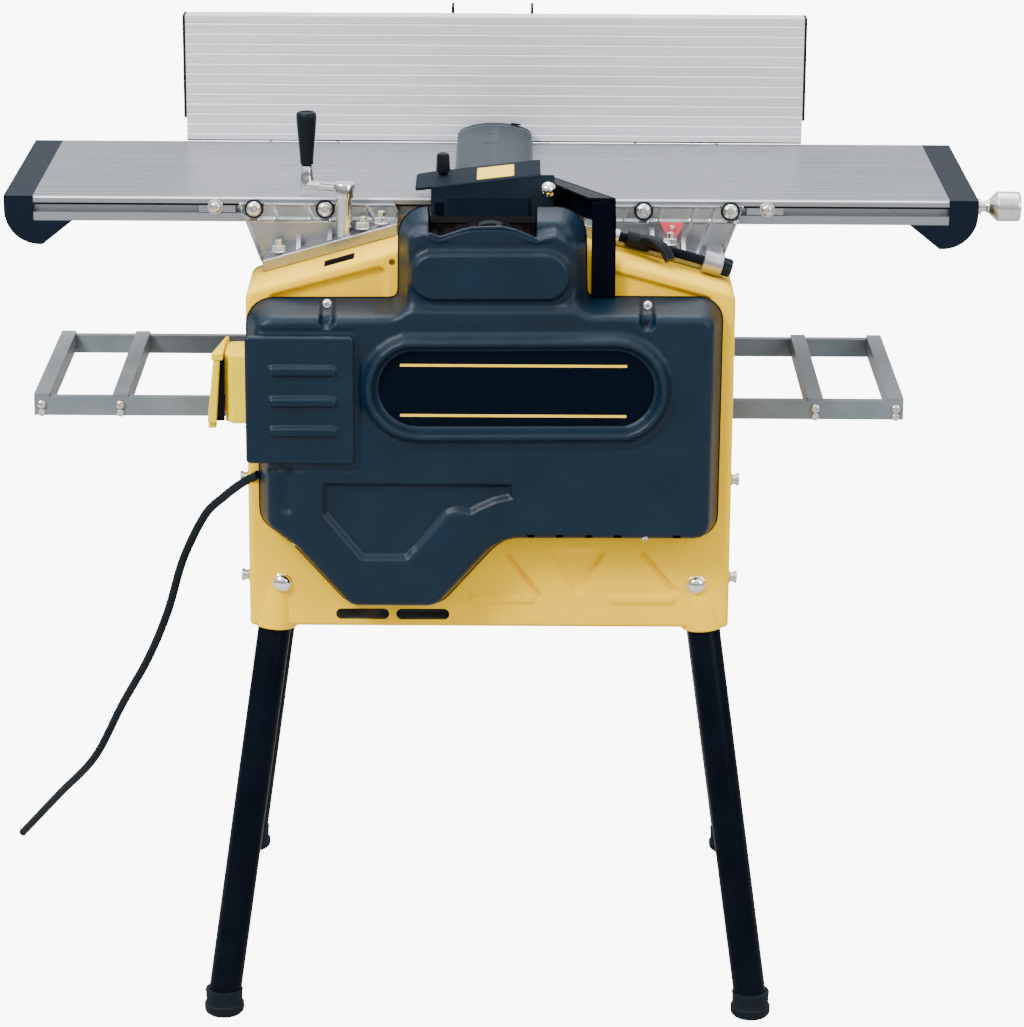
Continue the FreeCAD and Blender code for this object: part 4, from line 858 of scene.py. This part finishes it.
def deflector():
    """Bent sheet beside the cover's neck: strip, lip, a wing towards the cutter and its roof."""
    strip = prism("strip", rounded([(101, 774), (125, 774), (125, 858), (118, 874), (101, 872)], 3), "Y",
                  -209, -206.4, "black_paint", 0.7)
    lip = prism("lip", rounded(oblong(-209, -186, 774, 858), 2), "X", 123, 125.2, "black_paint", 0.6)
    wing = prism("wing", [(121, -209), (125, -209), (66, -112), (62, -112)], "Z", 846, 876, "black_paint",
                 0.8)
    roof = prism("roof", [(125, -208), (98, -208), (66, -146), (56, -116), (66, -112)], "Z", 873.5, 876,
                 "black_paint", 0.8)
    settle(join("chip_deflector_sheet", [strip, lip, wing, roof]), ROOT, "black_paint", "chip_deflector")


# ---------------------------------------------------------------- fence, rails, switch, cord
def rail_screws():
    """Screws that hold the crossbars of the extension rails, with a collar under each."""
    screws = []
    for place in (-468, -386, 339, 423):
        for y_face, way in ((-98, -1), (167, 1)):
            spot = Vector((place, y_face, 629))
            screws.append(recessed_screw("head", spot, (0, way, 0), 5))
            screws.append(lathe("collar", spot + Vector((0, 0, -9)), (0, way, 0),
                                [(-2, 4), (1.6, 4), (2.4, 3.2)], "zinc_steel"))
    settle(join("rail_screws_turned", screws), "thicknesser", "zinc_steel", "extension_screws")


def switch():
    """Housing, and its flap: a leaning panel under a small roof, parted from it by a gap filled with a
    painted shadow wedge.
    """
    plan = rounded([(-247.2, -194), (-262, -194), (-270, -184), (-270, -141), (-263, -136), (-247.2, -136)],
                   1.5)
    case = prism("switch_housing_moulded", plan, "Z", 636, 708, "lemon_plastic", 1.5)
    settle(case, ROOT, "lemon_plastic", "switch_housing")

    def drawn_in(x, y, z):
        """Lean the flap towards the wall at its far end."""
        return x + 5 * (y + 195) / 60, y, z

    def rising(x, y, z):
        """Lift the roof a little towards its far end."""
        return x, y, z + 0.06 * (y + 196)

    face = prism("face", rounded([(-288, 637), (-278.5, 637), (-274, 704), (-281, 704)], 1.5), "Y", -195,
                 -138, "lemon_plastic", 1.5, tilt=drawn_in)
    # painted shadow: a near-black wedge filling the gap between flap and housing
    wedge = prism("wedge", [(-278.5, 639), (-270.2, 639), (-270.2, 704), (-274, 704)], "Y", -193, -190,
                  "slot_shadow")
    roof = prism("roof", rounded([(-283, -196), (-271, -196), (-271, -150), (-268, -137), (-271.5, -137)],
                                 1), "Z", 703, 710, "lemon_plastic", 1.2, tilt=rising)
    tab = prism("tab", rounded([(-288, 630), (-279, 630), (-279, 640), (-286, 640)], 1.5), "Y", -190, -180,
                "lemon_plastic", 0.8)
    settle(join("switch_flap_moulded", [face, wedge, roof, tab]), "switch_flap", "lemon_plastic",
           "switch_flap")


def mains_cord():
    """Cord from the electrics cover to the floor, with a cut end."""
    points = [(-236, -207, 586), (-255, -190, 571), (-275, -165, 549), (-297, -140, 521), (-323, -110, 463),
              (-343, -80, 395), (-369, -40, 328), (-404, 10, 256), (-441, 60, 176), (-491, 140, 101),
              (-548, 236, 14)]
    cord = sweep("mains_cord_round", points, 4.5, "rubber", 24)
    settle(cord, ROOT, "rubber", "mains_cord")


def fence_trim():
    """Painted highlights along the lower lips of the fence's grooves, and a painted shadow strip under its
    lower edge.
    """
    highlight_strips = []
    # painted highlight: a white strip along the lower lip of each groove
    for number in range(12):
        middle = 861 + 11 * number
        highlight_strips.append(prism("lip", oblong(-334, 338, middle - 1.5, middle - 0.5), "Y", 176.75, 177.2,
                          "painted_highlight_white"))
    settle(join("fence_groove_painted_highlights", highlight_strips), "fence", "fence_aluminium")
    # painted shadow: a near-black strip in the gap under the fence's lower edge
    strip = prism("fence_foot_painted_shadow", oblong(-334, 338, 852.3, 855), "Y", 177.4, 185, "slot_shadow")
    settle(strip, "fence", "black_plastic")


def table_slots():
    """Painted highlight along the front edge of each table, painted shadow in its bolt slot, and the nut at
    its outer screw.
    """
    for word, sign, body in (("outfeed", -1, ROOT), ("infeed", 1, "infeed")):
        near, far = sign * 36, sign * 469
        # painted shadow: a dark strip under the upper lip of the bolt slot
        line = prism(f"{word}_slot_shadow_line", oblong(near, far, 842.8, 845), "Y", -102.4, -94.5, "slot_shadow")
        settle(line, body, "table_aluminium")
        # painted highlight: a white strip along the table's front top edge
        edge = prism(f"{word}_front_edge_painted_highlight", oblong(near, far, 849.7, 851.7), "Y", TABLE_FRONT - 0.15,
                     TABLE_FRONT + 0.5, "painted_highlight_white")
        settle(edge, body, "table_aluminium")
        block = rounded(oblong(sign * 262, sign * 300, 835.4, 844.6), 1)
        nut = prism(f"{word}_slot_nut", block, "Y", -102.2, -96, "cast_aluminium", 0.6)
        settle(nut, body, "table_aluminium")


# ---------------------------------------------------------------- CAD nodes that stay in view
def dress_nodes():
    """Give every CAD node its finish and, if it is shown, rounded edges."""
    slots = {part["node"]: part["material_slot"] for part in frame["record"]["subparts"]}
    widths = {"outfeed_cap": 2.5, "infeed_cap": 2.5, "outfeed_table": 0.5, "infeed_table": 0.5,
              "fence_plate": 0.3, "extension_rails": 1.2, "extension_crossbars": 1.5}
    for name, thing in NODES.items():
        thing.data.materials.clear()
        thing.data.materials.append(SHADES["cap_plastic" if name.endswith("feed_cap") else slots[name]])
        if not thing.hide_render:
            soften(thing, widths.get(name, 0.8), 2)


# ---------------------------------------------------------------- camera, floor, lights
def camera():
    """Camera at the height of a standing viewer, looking down on the machine from the drive side."""
    pitch, yaw, roll = 0.3002, -0.0021, 0.0061
    right = Vector((math.cos(yaw), math.sin(yaw), 0))
    ahead = Vector((-math.sin(yaw) * math.cos(pitch), math.cos(yaw) * math.cos(pitch), -math.sin(pitch)))
    up = right.cross(ahead)
    tilted = math.cos(roll) * right + math.sin(roll) * up
    risen = math.cos(roll) * up - math.sin(roll) * right
    data = bpy.data.cameras.new("camera")
    data.lens = 134.08  # millimetres, as is the sensor
    data.sensor_width = 36
    eye = bpy.data.objects.new("camera", data)
    turn = Matrix((tilted, risen, -ahead)).transposed().to_4x4()
    eye.matrix_world = Matrix.Translation((0.0151, -3.943, 1.7025)) @ turn
    bpy.context.scene.collection.objects.link(eye)
    bpy.context.scene.camera = eye


def lamp(name, place, aim, size, power):
    """A square area lamp, size in metres and power in watts."""
    data = bpy.data.lights.new(name, "AREA")
    data.size = size
    data.energy = power
    light = bpy.data.objects.new(name, data)
    light.location = place
    light.rotation_euler = (Vector(aim) - Vector(place)).to_track_quat("-Z", "Y").to_euler()
    bpy.context.scene.collection.objects.link(light)


def camera_glow(tree, strength_in, dim, bright, seen):
    """Light whose strength for other rays grows with height, and which the camera sees at a set strength."""
    link = tree.links.new
    place = add_node(tree, "TexCoord")
    parts = add_node(tree, "SeparateXYZ")
    link(place.outputs["Generated"], parts.inputs["Vector"])
    lift = add_node(tree, "MapRange", From_Max=0.7, To_Min=dim, To_Max=bright)
    link(parts.outputs["Z"], lift.inputs["Value"])
    path = add_node(tree, "LightPath")
    choice = add_node(tree, "Mix", B=seen)
    link(path.outputs["Is Camera Ray"], choice.inputs["Factor"])
    link(lift.outputs["Result"], choice.inputs["A"])
    link(choice.outputs["Result"], strength_in)


def studio():
    """Pale floor and sky that the camera sees as white, and three soft lamps."""
    tree = finish("studio_white", (0.4, 0.4, 0.4), 0.9, spread=0.01, bump=0.0).node_tree
    skin = tree.nodes["Principled BSDF"]
    skin.inputs["Emission Color"].default_value = (1, 1, 1, 1)
    path = add_node(tree, "LightPath")
    glow = add_node(tree, "Math")
    glow.operation = "MULTIPLY"
    glow.inputs[1].default_value = 8.0
    tree.links.new(path.outputs["Is Camera Ray"], glow.inputs[0])
    tree.links.new(glow.outputs["Value"], skin.inputs["Emission Strength"])
    floor = mesh_piece("floor", [(-9000, -7000, 0), (9000, -7000, 0), (9000, 9000, 0), (-9000, 9000, 0)],
                       [(0, 1, 2, 3)], "studio_white")
    world = bpy.data.worlds.new("studio")
    world.use_nodes = True
    sky = world.node_tree.nodes["Background"]
    sky.inputs["Color"].default_value = (1, 1, 1, 1)
    camera_glow(world.node_tree, sky.inputs["Strength"], 0.25, 2.1, 10.0)
    bpy.context.scene.world = world
    lamp("key", (-2.2, -2.4, 3.4), (0, 0, 0.6), 1.0, 215)
    lamp("fill", (2.8, -2.4, 2.0), (0, 0, 0.6), 1.8, 55)
    lamp("top", (0, 0.6, 3.2), (0, 0, 0.8), 1.8, 70)


for build in (body_finishes, metal_finishes, front_wall, rear_wall, legs_and_sockets, drive_cover,
              electrics_cover, cover_screws, brackets, bolts, crank, depth_knob, table_lock, guard_head,
              guard_knobs, guard_beam, deflector, rail_screws, switch, mains_cord, fence_trim, table_slots,
              dress_nodes, camera, studio):
    build()
